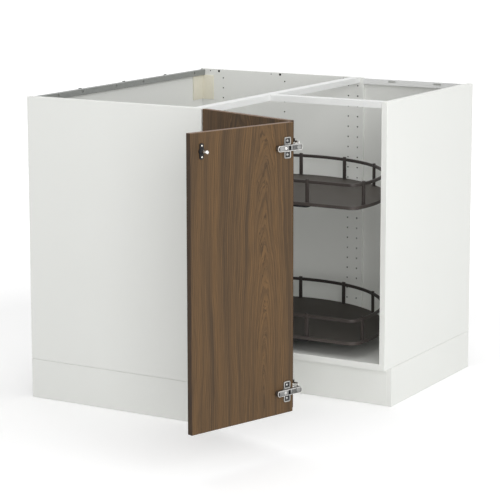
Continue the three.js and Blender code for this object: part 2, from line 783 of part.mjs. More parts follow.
/** A cup let into the inner leaf, y along the leaf and z up, with its flange on the leaf's inner face. */
function cup(y, z) {
  const face = innerX[0];
  const radius = cupRadius - slack;
  const depth = cupDepth - slack;
  const shell = rod("x", radius, [face - cupFlange / 2, face + depth], poleSides).translate(0, y, z);
  const flange = block(
    [face - cupFlange, face],
    [y - cupFlangeWidth / 2, y + cupFlangeWidth / 2],
    [z - cupFlangeHeight / 2, z + cupFlangeHeight / 2],
  );
  const hollow = rod("x", radius - cupWall, [face - 2 * cupFlange, face + depth - cupWall], poleSides);
  return cut(join(shell, flange), hollow.translate(0, y, z));
}

/** The two cheeks above and below an eye of a given height, over a span of x and y. */
function cheeks(spanX, spanY, z, height) {
  const near = height / 2 + 2 * slack;
  const upper = block(spanX, spanY, [z + near, z + near + cheek]);
  const lower = block(spanX, spanY, [z - near - cheek, z - near]);
  return [upper, lower];
}

/** An upright pin through both cheeks of an eye of a given height. */
function pin(place2d, z, height) {
  const half = height / 2 + 2 * slack + cheek;
  return rod("z", pinRadius, [z - half, z + half], smallSides).translate(place2d.x, place2d.y, 0);
}

/** An eye round a pin, joined to the bar that carries it. */
function eyed(bar, place2d, z, height) {
  const span = [z - height / 2, z + height / 2];
  const outside = rod("z", eyeRadius, span).translate(place2d.x, place2d.y, 0);
  const bore = rod("z", pinRadius + slack, [span[0] - overrun, span[1] + overrun]);
  return cut(join(bar, outside), bore.translate(place2d.x, place2d.y, 0));
}

/** The cup that turns on the swing pin: its wall is open towards the pin, which two cheeks hold. */
function swingCup(z) {
  const y = cupYs.swing;
  const gap = eyeHeight / 2 + 2 * slack;
  const openingY = [innerY[0] - overrun, y - cupMouth];
  const opening = block([innerX[0] - 2 * cupFlange, innerX[1]], openingY, [z - gap, z + gap]);
  const across = [swingPin.x - eyeRadius, swingPin.x + eyeRadius - slack];
  const along = [swingPin.y - eyeRadius, y - cheekReach];
  const shell = cut(cup(y, z), opening);
  return join(shell, ...cheeks(across, along, z, eyeHeight), pin(swingPin, z, eyeHeight));
}

/** The cup of the fold hinge, with a link through the leaf's slot to an eye round the fold pin. */
function foldCup(z) {
  const y = cupYs.fold;
  const span = [z - linkHeight / 2, z + linkHeight / 2];
  const half = linkThickness / 2;
  const bar = block([foldPin.x - half, foldPin.x + half], [y - half, foldPin.y], span);
  const cupBottom = innerX[0] + cupDepth - slack;
  const post = block([foldPin.x - half, cupBottom - cupWall / 2], [y - half, y + half], span);
  return join(cup(y, z), post, eyed(bar, foldPin, z, linkHeight));
}

/**
 * A cross-shaped mounting plate on a face in the plane y = 0 and the arm over it, which points to +x or
 * to -x as the sign says and ends at x = 0.
 */
function plateAndArm(z, sign) {
  const along = (a, b) => (sign > 0 ? [a, b] : [-b, -a]);
  const middleOfPlate = -plateFromArmEnd;
  const armY = [plateThickness, plateThickness + armRise];
  const armZ = [z - armHeight / 2, z + armHeight / 2];
  const plateX = along(middleOfPlate - plateWidth / 2, middleOfPlate + plateWidth / 2);
  const plateZ = [z - plateHeight / 2, z + plateHeight / 2];
  const plate = chamfered(plateX, [0, plateThickness], plateZ, plateArris);
  const arm = chamfered(along(-armLength, 0), armY, armZ);
  const baseX = along(armBaseInset - armLength, -armBaseInset);
  const base = block(baseX, [0, armY[0] + arris], [armZ[0] + armBaseInset, armZ[1] - armBaseInset]);
  const slotMiddle = middleOfPlate + armSlotOffset;
  const slot = block(
    along(slotMiddle - armScrewSlot / 2, slotMiddle + armScrewSlot / 2),
    [armY[1] - armSlotDepth, armY[1] + overrun],
    [z - armScrewSlot / 2, z + armScrewSlot / 2],
  );
  return cut(join(plate, base, arm), slot);
}

/** The arm on the left end panel, whose cranked neck ends in an eye on the swing pin. */
function swingArm(z) {
  const bend = new THREE.Vector2(armDepth + neckOverhang, board + neckOffset);
  const armEnd = armDepth - swingArmSetBack;
  const along = swingPin.clone().sub(bend);
  const half = neckThickness / 2;
  const span = [z - eyeHeight / 2, z + eyeHeight / 2];
  const neck = block([-half, along.length()], [-half, half], span)
    .rotateZ(Math.atan2(along.y, along.x))
    .translate(bend.x, bend.y, 0);
  const shank = block([armEnd - armOverlap, bend.x + half], [bend.y - half, bend.y + half], span);
  const body = plateAndArm(z, 1).translate(armEnd, board, 0);
  return eyed(join(body, shank, neck), swingPin, z, eyeHeight);
}

/** The arm on the outer leaf, whose end turns down to two cheeks that hold the fold pin. */
function foldArm(z) {
  const face = outerY[1];
  const nose = [foldPin.x - eyeRadius, foldPin.x + eyeRadius];
  const armY = [face + plateThickness, face + plateThickness + armRise];
  const armZ = [z - armHeight / 2, z + armHeight / 2];
  const bridgeX = [nose[0], outerX[0] + bridgeOverlap];
  const bridge = block(bridgeX, [armY[0] + arris, armY[1] - arris], armZ);
  const body = plateAndArm(z, -1).translate(outerX[0], face, 0);
  const lugY = [foldPin.y - eyeRadius, armY[0] + 2 * arris];
  return join(body, bridge, ...cheeks(nose, lugY, z, linkHeight), pin(foldPin, z, linkHeight));
}

for (const [level, z] of Object.entries(hingeHeights)) {
  place(cabinet, `${level}_swing_arm`, swingArm(z), nickel);
  place(leaves, `${level}_swing_cup`, swingCup(z), nickel);
  place(leaves, `${level}_fold_cup`, foldCup(z), nickel);
  place(leaves, `${level}_fold_arm`, foldArm(z), nickel);
}

// ---- Catch --------------------------------------------------------------------------------------

/** The catch's base on the outer leaf's inner face, bored for the plunger. */
function catchBase() {
  const face = outerY[1];
  const front = face + catchPlate + catchBoss;
  const plate = chamfered(
    [catchX - catchWidth / 2, catchX + catchWidth / 2],
    [face, face + catchPlate],
    [catchZ - catchHeight / 2, catchZ + catchHeight / 2],
  );
  const boss = rod("y", catchBossRadius, [face, front]).translate(catchX, 0, catchZ);
  const bore = rod("y", plungerRadius + slack, [face - overrun, front + overrun]);
  return cut(join(plate, boss), bore.translate(catchX, 0, catchZ));
}

place(leaves, "catch_base", catchBase(), blackPlastic);
const plunger = rod("y", plungerRadius, [outerY[1] + slack, outerY[1] + plungerReach]);
place(leaves, "catch_plunger", plunger.translate(catchX, 0, catchZ), nickel);

// ---- Frame --------------------------------------------------------------------------------------
// The origin is the middle of the base of the box round the cabinet with its door standing open.

const bounds = new THREE.Box3().setFromObject(cabinet);
const centre = bounds.getCenter(new THREE.Vector3());
cabinet.position.set(-centre.x, -centre.y, -bounds.min.z);

const assembly = new THREE.Group();
assembly.name = "corner_carousel_cabinet";
assembly.add(cabinet);

export default assembly;
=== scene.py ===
"""Corner carousel cabinet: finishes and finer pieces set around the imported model.

Sizes are in millimetres in the cabinet's own plan (x from the left rear wall, y from the left end
panel, z above the floor) and become metres in the model's frame when a piece is put in.
"""

import logging
import math
from collections.abc import Callable
from dataclasses import dataclass, field
from enum import Enum

import bmesh
import bpy
import numpy as np
from bpy.types import Material, Mesh, Node, NodeSocket, NodeTree
from mathutils import Matrix, Vector


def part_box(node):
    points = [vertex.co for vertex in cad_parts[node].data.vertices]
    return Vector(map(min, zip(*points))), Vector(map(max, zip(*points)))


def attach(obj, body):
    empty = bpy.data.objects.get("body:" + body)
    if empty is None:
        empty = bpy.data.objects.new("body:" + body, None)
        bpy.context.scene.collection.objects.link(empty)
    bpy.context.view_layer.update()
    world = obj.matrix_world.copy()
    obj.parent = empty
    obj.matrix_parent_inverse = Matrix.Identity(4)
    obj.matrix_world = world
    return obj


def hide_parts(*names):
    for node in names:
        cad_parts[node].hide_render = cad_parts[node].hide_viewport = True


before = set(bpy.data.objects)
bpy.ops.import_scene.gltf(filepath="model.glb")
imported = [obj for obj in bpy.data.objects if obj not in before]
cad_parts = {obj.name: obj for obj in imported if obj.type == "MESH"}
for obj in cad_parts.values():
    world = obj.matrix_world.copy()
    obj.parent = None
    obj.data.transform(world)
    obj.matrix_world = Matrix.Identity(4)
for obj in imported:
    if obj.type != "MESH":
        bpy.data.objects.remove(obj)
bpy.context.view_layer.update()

log = logging.getLogger("cabinet")

MM = 0.001  # metres in a millimetre
PANEL_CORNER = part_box("left_end_panel")[0]
PLAN_ORIGIN = np.array([-PANEL_CORNER.x / MM, -PANEL_CORNER.y / MM, 0.0])  # the model's, in the plan
SWING_PIN = np.array([591.0, 7.0, 0.0])
SWING_AT_REST = math.radians(108)  # how far the inner leaf stands open in the model
FRONT = 580.0  # front plane of the first arm
WALL = 952.5  # length of each outer wall
SIDE_FRONT = WALL - FRONT  # front plane of the second arm
OUTER_FACE = 369.5  # plan y of the outer leaf's inner face, closed
SHARP = math.radians(32)  # steeper folds than this stay crisp

Pair = tuple[float, float]
Point = tuple[float, float, float]
Colour = tuple[float, float, float]
Outline = Callable[[float], np.ndarray]  # plan points at an inset
Ripple = Callable[[np.ndarray, np.ndarray], np.ndarray]  # added radius at angles and heights


class Body(Enum):
    """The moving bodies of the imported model."""

    CABINET = "cabinet"
    INNER_DOOR = "inner_door"
    OUTER_DOOR = "outer_door"
    PLUNGER = "plunger"
    LOWER_CAROUSEL = "lower_carousel"
    UPPER_CAROUSEL = "upper_carousel"


class Slot(Enum):
    """The record's material slots."""

    WHITE_FOIL = "white_foil"
    WHITE_STEEL = "white_steel"
    GALVANISED = "galvanised"
    CREAM_PLASTIC = "cream_plastic"
    BLACK_PLASTIC = "black_plastic"
    GREY_BOARD = "grey_board"
    GREY_STEEL = "grey_steel"
    NICKEL = "nickel"
    WALNUT = "walnut"


class Level(Enum):
    """The two heights at which the hinges and the trays repeat."""

    LOWER = "lower"
    UPPER = "upper"


# ---- Surfaces -----------------------------------------------------------------------------------


@dataclass(frozen=True)
class Placement:
    """Where a piece's own axes lie in the plan.

    A point (a, b, c) lies at origin + a * along + b * up + c * out, and is then turned about the swing
    pin when it belongs to a leaf that stands open.
    """

    origin: Point = (0.0, 0.0, 0.0)
    along: Point = (1.0, 0.0, 0.0)
    up: Point = (0.0, 1.0, 0.0)
    out: Point = (0.0, 0.0, 1.0)
    on_leaf: bool = False

    def to_model(self, points: np.ndarray) -> np.ndarray:
        """Moves points from the piece's own axes to the model's frame.

        Args:
            points: (n, 3) places in millimetres.

        Returns:
            (n, 3) places in metres.
        """
        plan = np.array(self.origin) + points @ np.array([self.along, self.up, self.out])
        if self.on_leaf:
            c, s = math.cos(-SWING_AT_REST), math.sin(-SWING_AT_REST)
            plan = (plan - SWING_PIN) @ np.array([[c, s, 0], [-s, c, 0], [0, 0, 1]]) + SWING_PIN
        return (plan - PLAN_ORIGIN) * MM


ON_LEAF = Placement(on_leaf=True)


def unit(v: np.ndarray) -> np.ndarray:
    """Vectors scaled to length one along the last axis."""
    return v / np.linalg.norm(v, axis=-1, keepdims=True)


def turned(
    profile: list[Pair],
    sides: int = 48,
    start: Point = (0, 0, 0),
    axis: Point = (0, 0, 1),
    ripple: Ripple | None = None,
) -> np.ndarray:
    """A turned surface: start + h * axis + r * (e1 cos a + e2 sin a) over profile points (r, h).

    Args:
        profile: radius and distance along the axis of each row.
        sides: points round the axis.
        start: where the distance is zero.
        axis: direction of the axis.
        ripple: radius added as a function of the angle and the distance, for flutes and threads.

    Returns:
        (rows, sides, 3) points.
    """
    along = unit(np.array(axis, float))
    helper = np.array([0.0, 0.0, 1.0]) if abs(along[2]) < 0.9 else np.array([1.0, 0.0, 0.0])
    e1 = unit(np.cross(helper, along))
    e2 = np.cross(along, e1)
    r, h = np.array(profile, float).T[:, :, None]
    a = np.linspace(0, 2 * np.pi, sides, endpoint=False)[None, :]
    r = r + (ripple(a, h) if ripple else 0.0 * a)
    ring = r[..., None] * (np.cos(a)[..., None] * e1 + np.sin(a)[..., None] * e2)
    return np.array(start, float) + h[..., None] * along + ring


def grooves(depth: float, count: int, low: float = -math.inf, high: float = math.inf) -> Ripple:
    """A ripple of upright grooves between two heights: -d (1 + cos(n a)) there and zero elsewhere."""
    return lambda a, h: -depth * (1 + np.cos(count * a)) * ((h > low) & (h < high))


def dome(radius: float, length: float, edge: float, steps: int = 5) -> list[Pair]:
    """A rod's profile with both ends rounded by quarter circles of the edge radius."""
    a = np.linspace(0, np.pi / 2, steps)
    low = [(radius - edge + edge * math.sin(t), edge - edge * math.cos(t)) for t in a]
    high = [(r, length - h) for r, h in reversed(low)]
    return low + high


def rounded(corners: list[Pair], radius: float | list[float], steps: int = 5) -> Outline:
    """A polygon with rounded corners, as a function of how far it is drawn inset.

    Each corner is an arc about a centre that lies one radius from both of its sides; an inset shortens
    the arc's radius at an outward corner and lengthens it at an inward one, so every inset has as many
    points.

    Args:
        corners: anticlockwise.
        radius: one for all corners or one each.
        steps: intervals along each arc.

    Returns:
        A function of the inset giving (n, 2) points.
    """
    p = np.array(corners, float)
    r = np.broadcast_to(np.array(radius, float), (len(p),))[:, None]
    come, go = unit(p - np.roll(p, 1, 0)), unit(np.roll(p, -1, 0) - p)
    n_in, n_out = np.stack([-come[:, 1], come[:, 0]], 1), np.stack([-go[:, 1], go[:, 0]], 1)
    dot = (n_in * n_out).sum(1, keepdims=True)
    cross = n_in[:, :1] * n_out[:, 1:] - n_in[:, 1:] * n_out[:, :1]
    sign = np.where(cross >= 0, 1.0, -1.0)
    centre = p + sign * r * (n_in + n_out) / (1 + dot)
    first, sweep = np.arctan2(n_in[:, 1:], n_in[:, :1]), np.arctan2(cross, dot)
    angle = first + sweep * np.linspace(0, 1, steps + 1)[None, :]
    normal = np.stack([np.cos(angle), np.sin(angle)], -1)

    def outline(inset: float) -> np.ndarray:
        """The outline drawn that far inset."""
        reach = (sign * (r - sign * inset))[:, :, None]
        return (centre[:, None, :] - reach * normal).reshape(-1, 2)

    return outline


def bar_outline(
    x: Pair, y: Pair, radius: float | list[float], steps: int = 5
) -> Outline:
    """A rounded rectangle between two values of x and two of y."""
    return rounded([(x[0], y[0]), (x[1], y[0]), (x[1], y[1]), (x[0], y[1])], radius, steps)


def moved(outline: Outline, at: Pair, angle: float) -> Outline:
    """An outline turned by an angle and then carried to a place: p (cos, sin; -sin, cos) + at."""
    c, s = math.cos(angle), math.sin(angle)
    return lambda inset: outline(inset) @ np.array([[c, s], [-s, c]]) + np.array(at)


def stacked(outline: Outline, places: list[Pair]) -> np.ndarray:
    """One loop of an outline for each pair of inset and height, as (rows, n, 3) points."""
    loops = [(outline(inset), height) for inset, height in places]
    return np.stack([np.column_stack([xy, np.full(len(xy), height)]) for xy, height in loops])


def slab(outline: Outline, z: Pair, fillet: float, steps: int = 3) -> np.ndarray:
    """A plate over an outline whose upper and lower edges are quarter circles.

    A row at angle t has the inset f (1 - sin t) and stands f (1 - cos t) from the plate's face.

    Args:
        outline: gives the points at an inset.
        z: lower and upper face.
        fillet: radius of the quarter circles.
        steps: intervals along each of them.

    Returns:
        (rows, n, 3) points.
    """
    t = np.linspace(0, np.pi / 2, steps + 1)
    inset, rise = fillet * (1 - np.sin(t)), fillet * (1 - np.cos(t))
    low = [(i, z[0] + h) for i, h in zip(inset, rise)]
    high = [(i, z[1] - h) for i, h in zip(inset[::-1], rise[::-1])]
    return stacked(outline, low + high)


def tube(path: np.ndarray, section: np.ndarray, closed: bool = False) -> np.ndarray:
    """A section carried along a path: path + s * side + t * up, with side level and up square to it.

    Args:
        path: (n, 3) points that don't run straight up.
        section: (k, 2) points (s, t).
        closed: whether the path ends where it starts.

    Returns:
        (n, k, 3) points.
    """
    ahead = np.roll(path, -1, 0) - np.roll(path, 1, 0) if closed else np.gradient(path, axis=0)
    ahead = unit(ahead)
    side = unit(np.cross(ahead, np.array([0.0, 0.0, 1.0])))
    up = np.cross(side, ahead)
    return path[:, None] + section[None, :, :1] * side[:, None] + section[None, :, 1:] * up[:, None]


def smooth_path(points: list[tuple[float, ...]], count: int) -> np.ndarray:
    """A curve through points: each span is the cubic whose slopes are half the neighbours' distance."""
    p = np.array(points, float)
    slope = np.gradient(p, axis=0)
    s = np.linspace(0, len(p) - 1, count)
    i = np.minimum(s.astype(int), len(p) - 2)
    t = (s - i)[:, None]
    h00, h10 = 2 * t**3 - 3 * t**2 + 1, t**3 - 2 * t**2 + t
    return h00 * p[i] + h10 * slope[i] + (1 - h00) * p[i + 1] + (t**3 - t**2) * slope[i + 1]


class Shell:
    """The closed surfaces that make up one piece, in the model's frame."""

    def __init__(self, placement: Placement = Placement()) -> None:
        """Starts an empty piece on a placement."""
        self.placement = placement
        self.points: list[np.ndarray] = []
        self.faces: list[list[int]] = []
        self.finishes: list[int] = []
        self.count = 0

    def loops(self, rows: np.ndarray, endless: bool = False, finish: int | np.ndarray = 0) -> "Shell":
        """Adds a surface of loops laid side by side, each closed on itself.

        Args:
            rows: (m, n, 3) points.
            endless: joins the last loop to the first; otherwise both are capped.
            finish: index of the finish of all faces, or of each band between two loops.

        Returns:
            This shell.
        """
        m, n = rows.shape[:2]
        bands = m if endless else m - 1
        i, j = np.arange(bands)[:, None], np.arange(n)[None, :]
        after, beside = (i + 1) % m, (j + 1) % n
        quads = np.stack([i * n + j, i * n + beside, after * n + beside, after * n + j], -1)
        each = np.broadcast_to(finish, (bands,))
        self.faces += (quads.reshape(-1, 4) + self.count).tolist()
        self.finishes += np.repeat(each, n).tolist()
        if not endless:
            low = np.arange(n)[::-1] + self.count
            self.faces += [low.tolist(), (low[::-1] + (m - 1) * n).tolist()]
            self.finishes += [int(each[0]), int(each[-1])]
        self.points.append(self.placement.to_model(rows.reshape(-1, 3)))
        self.count += m * n
        return self

    def bar(
        self, x: Pair, y: Pair, z: Pair,
        corner: float | list[float], fillet: float, arcs: int = 5, steps: int = 3,
    ) -> "Shell":
        """Adds a slab over a rounded rectangle.

        Args:
            x: its two ends.
            y: its two sides.
            z: its lower and upper face.
            corner: radius of all its corners, or of each.
            fillet: radius of the upper and lower edges.
            arcs: intervals along each corner.
            steps: intervals along each edge's quarter circle.

        Returns:
            This shell.
        """
        return self.loops(slab(bar_outline(x, y, corner, arcs), z, fillet, steps))

    def mesh(self, name: str) -> Mesh:
        """Makes the mesh: doubles merged, faces turned outwards, smooth but for steep folds."""
        mesh = bpy.data.meshes.new(name)
        mesh.from_pydata(np.concatenate(self.points).tolist(), [], self.faces)
        mesh.polygons.foreach_set("material_index", self.finishes)
        work = bmesh.new()
        work.from_mesh(mesh)
        bmesh.ops.remove_doubles(work, verts=work.verts, dist=1e-6)
        bmesh.ops.recalc_face_normals(work, faces=work.faces)
        work.to_mesh(mesh)
        work.free()
        mesh.polygons.foreach_set("use_smooth", [True] * len(mesh.polygons))
        mesh.set_sharp_from_angle(angle=SHARP)
        return mesh


# ---- Finishes -----------------------------------------------------------------------------------


class Graph:
    """Adds nodes to one tree and joins them."""

    def __init__(self, tree: NodeTree) -> None:
        """Works on a tree."""
        self.tree = tree

    def add(self, kind: str, inputs: dict | None = None, **settings: object) -> Node:
        """Adds a node.

        Args:
            kind: the node's type without its ShaderNode prefix, or a full type name.
            inputs: value or output socket for each input, by name or index.
            settings: the node's own properties.

        Returns:
            The node.
        """
        node = self.tree.nodes.new(kind if kind.startswith("Node") else "ShaderNode" + kind)
        for name, value in settings.items():
            setattr(node, name, value)
        for name, value in (inputs or {}).items():
            if isinstance(value, NodeSocket):
                self.tree.links.new(value, node.inputs[name])
            else:
                node.inputs[name].default_value = value
        return node

    def maths(self, operation: str, *values: object) -> NodeSocket:
        """The result of one sum on numbers or sockets."""
        return self.add("Math", dict(enumerate(values)), operation=operation).outputs[0]

    def span(self, value: object, low: float, high: float, to: Pair = (0, 1)) -> object:
        """A value stretched from one span to another and held inside it."""
        inputs = {0: value, 1: low, 2: high, 3: to[0], 4: to[1]}
        return self.add("MapRange", inputs, clamp=True).outputs[0]

    def blend(self, factor: object, first: object, second: object) -> NodeSocket:
        """A colour between two others."""
        node = self.add("Mix", {0: factor, 6: first, 7: second}, data_type="RGBA")
        return node.outputs[2]

    def noise(self, vector: object, scale: object, detail: float = 2.0, rough: float = 0.5) -> object:
        """Smooth noise from 0 to 1."""
        inputs = {"Vector": vector, "Scale": scale, "Detail": detail, "Roughness": rough}
        return self.add("TexNoise", inputs).outputs["Fac"]

    def stretched(self, vector: object, scale: Colour) -> NodeSocket:
        """A vector multiplied part by part."""
        return self.add("VectorMath", {0: vector, 1: scale}, operation="MULTIPLY").outputs[0]


def rgba(colour: Colour) -> tuple[float, float, float, float]:
    """A colour with full cover."""
    return (*colour, 1.0)


def principled_node(material: Material) -> Node:
    """A material's main shader."""
    return material.node_tree.nodes["Principled BSDF"]


class Effect:
    """A shader node group that is built once and placed in each material.

    Each input has its kind of socket, or, where it is a Float, the value that it starts with.
    """

    name = "effect"
    inputs: dict[str, str | float] = {}
    outputs = {"Color": "Color", "Gloss": "Float", "Height": "Float"}

    @classmethod
    def group(cls) -> NodeTree:
        """Returns the group, built on first use."""
        found = bpy.data.node_groups.get(cls.name)
        if found:
            return found
        tree = bpy.data.node_groups.new(cls.name, "ShaderNodeTree")
        for way, sockets in (("INPUT", cls.inputs), ("OUTPUT", cls.outputs)):
            for name, kind in sockets.items():
                starts = not isinstance(kind, str)
                socket_type = "NodeSocket" + ("Float" if starts else kind)
                made = tree.interface.new_socket(name, in_out=way, socket_type=socket_type)
                if starts:
                    made.default_value = kind
        g = Graph(tree)
        given = g.add("NodeGroupInput").outputs
        result = g.add("NodeGroupOutput")
        for name, socket in cls.build(g, given).items():
            tree.links.new(socket, result.inputs[name])
        return tree

    @classmethod
    def build(cls, g: Graph, given: object) -> dict[str, NodeSocket]:
        """Adds the group's nodes and returns the socket of each output."""
        raise NotImplementedError

    @classmethod
    def place(cls, g: Graph, **inputs: object) -> Node:
        """Puts the group in a material; an input's underscores stand for spaces."""
        named = {name.replace("_", " "): value for name, value in inputs.items()}
        return g.add("Group", named, node_tree=cls.group())


class Mottle(Effect):
    """Cloudy change of colour and gloss with a fine tooth on top, as on foil, paint and mouldings."""

    name = "mottle"
    inputs = {
        "Vector": "Vector", "Cloud Scale": 6.0, "Tooth Scale": 900.0, "Light": "Color", "Dark": "Color",
        "Roughness": 0.5, "Spread": 0.1,
    }
    tooth_share = 0.35  # of the colour's change; the clouds have the rest

    @classmethod
    def build(cls, g: Graph, given: object) -> dict[str, NodeSocket]:
        """Two noises: one sets colour and roughness slowly, the other is the tooth."""
        cloud = g.noise(given["Vector"], given["Cloud Scale"], 4.0, 0.6)
        tooth = g.noise(given["Vector"], given["Tooth Scale"], 2.0, 0.6)
        clouds = g.maths("MULTIPLY", cloud, 1 - cls.tooth_share)
        mixed = g.maths("MULTIPLY_ADD", tooth, cls.tooth_share, clouds)
        colour = g.blend(g.span(mixed, 0.32, 0.68), given["Dark"], given["Light"])
        off = g.maths("MULTIPLY", g.maths("SUBTRACT", cloud, 0.5), given["Spread"])
        return {"Color": colour, "Gloss": g.maths("ADD", given["Roughness"], off), "Height": tooth}


class Brushing(Effect):
    """Fine scratches along one direction with soft smudges, as on plated steel."""

    name = "brushing"
    inputs = {"Vector": "Vector", "Light": "Color", "Dark": "Color", "Roughness": 0.3, "Spread": 0.2}
    drawn_out = (0.12, 0.12, 4.0)  # the scratches' noise: long when level, fine upwards
    scratch_scale = 700.0
    smudge_scale = 55.0

    @classmethod
    def build(cls, g: Graph, given: object) -> dict[str, NodeSocket]:
        """Noise drawn out along the level directions makes the scratches, round noise the smudges."""
        lines = g.noise(g.stretched(given["Vector"], cls.drawn_out), cls.scratch_scale, 3.0, 0.6)
        smudge = g.noise(given["Vector"], cls.smudge_scale, 3.0)
        colour = g.blend(g.span(smudge, 0.35, 0.65), given["Dark"], given["Light"])
        off = g.maths("MULTIPLY", g.maths("SUBTRACT", lines, 0.4), given["Spread"])
        return {"Color": colour, "Gloss": g.maths("ADD", given["Roughness"], off), "Height": lines}


class Spangle(Effect):
    """Crystal patches of hot-dip zinc, each with its own shade and gloss."""

    name = "spangle"
    inputs = {"Vector": "Vector", "Scale": 160.0, "Light": "Color", "Dark": "Color"}
    fine_scale = 420.0
    gloss = (0.3, 0.52)  # roughness of the darkest and of the lightest patch

    @classmethod
    def build(cls, g: Graph, given: object) -> dict[str, NodeSocket]:
        """The colour of each Voronoi cell gives its shade, and fine noise breaks it up."""
        inputs = {"Vector": given["Vector"], "Scale": given["Scale"], "Randomness": 1.0}
        cell = g.add("TexVoronoi", inputs).outputs["Color"]
        shade = g.add("SeparateColor", {0: cell}).outputs[0]
        fine = g.noise(given["Vector"], cls.fine_scale, 3.0)
        mixed = g.maths("MULTIPLY_ADD", fine, 0.4, g.maths("MULTIPLY", shade, 0.6))
        colour = g.blend(mixed, given["Dark"], given["Light"])
        return {"Color": colour, "Gloss": g.span(mixed, 0, 1, cls.gloss), "Height": mixed}


class WoodFigure(Effect):
    """Upright walnut grain: growth rings cut by the board, broad bands, streaks and pores.

    The board's own axes are X across, Z up its length. A ring at distance r from the log's middle shows
    where r = sqrt(x^2 + d(z)^2), with d growing upwards, so the rings close in nested arches.
    """

    name = "wood_figure"
    inputs = {
        "Vector": "Vector", "Arch Centre": 0.1, "Depth": 0.012, "Taper": 0.06, "Ring": 0.0045,
        "Light": "Color", "Middle": "Color", "Dark": "Color",
    }
    sway = 0.034  # metres that the arches' middle wanders
    waver = 0.009  # metres that a ring wavers
    # cells a metre across the rings and along the grain, and the noise's detail
    band_cells = (52.0, 1.1, 2.0)
    streak_cells = (430.0, 2.0, 3.0)
    pore_cells = (1400.0, 12.0, 2.0)

    @classmethod
    def build(cls, g: Graph, given: object) -> dict[str, NodeSocket]:
        """Rings from the formula above, with bands, streaks and pores.

        Those three are noise over (r, x, z), so they follow the rings and change slowly along the grain.
        """
        parts = g.add("SeparateXYZ", {0: given["Vector"]}).outputs
        wander = g.noise(g.stretched(given["Vector"], (2.0, 2.0, 1.0)), 3.2, 2.0)
        sway = g.maths("MULTIPLY", g.maths("SUBTRACT", wander, 0.5), cls.sway)
        across = g.maths("ADD", g.maths("SUBTRACT", parts[0], given["Arch Centre"]), sway)
        depth = g.maths("MULTIPLY_ADD", parts[2], given["Taper"], given["Depth"])
        squares = g.maths("ADD", g.maths("MULTIPLY", across, across), g.maths("MULTIPLY", depth, depth))
        waver = g.noise(g.stretched(given["Vector"], (9.0, 9.0, 1.3)), 5.0, 3.0)
        radius = g.maths("MULTIPLY_ADD", waver, cls.waver, g.maths("SQRT", squares))
        slow = g.maths("MULTIPLY", across, 0.05)
        along = g.add("CombineXYZ", {0: radius, 1: slow, 2: parts[2]}).outputs[0]

        def lengthwise(rings: float, length: float, detail: float) -> object:
            """Noise with that many cells a metre across the rings and along the grain."""
            return g.noise(g.stretched(along, (rings, rings, length)), 1.0, detail, 0.6)

        phase = g.maths("FRACT", g.maths("DIVIDE", radius, given["Ring"]))
        rise = g.maths("POWER", g.span(phase, 0.1, 0.84), 2.2)
        ring = g.maths("MULTIPLY", rise, g.span(phase, 0.86, 1.0, (1, 0)))
        band = lengthwise(*cls.band_cells)
        streak = lengthwise(*cls.streak_cells)
        pore = lengthwise(*cls.pore_cells)
        tone = g.maths("MULTIPLY_ADD", streak, 0.6, g.maths("MULTIPLY", band, 0.4))
        ground = g.blend(g.span(tone, 0.38, 0.6), given["Middle"], given["Light"])
        strength = g.span(band, 0.35, 0.62, (0.8, 0.42))
        lines = g.maths("MULTIPLY", ring, strength)
        smoke = g.maths("MULTIPLY", g.span(band, 0.5, 0.36), g.span(streak, 0.62, 0.4, (0.2, 0.7)))
        fleck = g.span(pore, 0.5, 0.66, (0.0, 0.75))
        shade = g.maths("MAXIMUM", g.maths("MAXIMUM", lines, smoke), fleck)
        colour = g.blend(shade, ground, given["Dark"])
        return {
            "Color": colour,
            "Gloss": g.span(pore, 0.4, 0.75, (0.46, 0.6)),
            "Height": g.maths("SUBTRACT", 1.0, fleck),
        }


@dataclass(frozen=True)
class Finish:
    """One finish: its slot in the record and the values of its material."""

    name: str
    slot: Slot
    light: Colour
    dark: Colour
    roughness: float = 0.5
    spread: float = 0.1
    metallic: float = 0.0
    bump: float = 0.02  # millimetres
    specular: float = 0.5

    def principled(self, material: Material, effect: Node, g: Graph) -> None:
        """Joins an effect's colour, gloss and height to the material's shader."""
        height = {"Strength": 0.6, "Distance": self.bump * MM, "Height": effect.outputs["Height"]}
        bump = g.add("Bump", height)
        shader = principled_node(material)
        shader.inputs["Metallic"].default_value = self.metallic
        shader.inputs["Specular IOR Level"].default_value = self.specular
        g.tree.links.new(effect.outputs["Color"], shader.inputs["Base Color"])
        g.tree.links.new(effect.outputs["Gloss"], shader.inputs["Roughness"])
        g.tree.links.new(bump.outputs["Normal"], shader.inputs["Normal"])

    def effect(self, g: Graph, place: NodeSocket) -> Node:
        """The effect that this finish shows."""
        raise NotImplementedError

    def material(self) -> Material:
        """Returns the material, built on first use."""
        found = bpy.data.materials.get(self.name)
        if found:
            return found
        material = bpy.data.materials.new(self.name)
        material.use_nodes = True
        g = Graph(material.node_tree)
        place = g.add("TexCoord").outputs["Object"]
        self.principled(material, self.effect(g, place), g)
        return material


@dataclass(frozen=True)
class Coating(Finish):
    """Foil, paint or moulded plastic."""

    cloud: float = 5.0
    tooth: float = 900.0

    def effect(self, g: Graph, place: NodeSocket) -> Node:
        """Mottle with this coating's values."""
        return Mottle.place(
            g, Vector=place, Cloud_Scale=self.cloud, Tooth_Scale=self.tooth, Light=rgba(self.light),
            Dark=rgba(self.dark), Roughness=self.roughness, Spread=self.spread,
        )


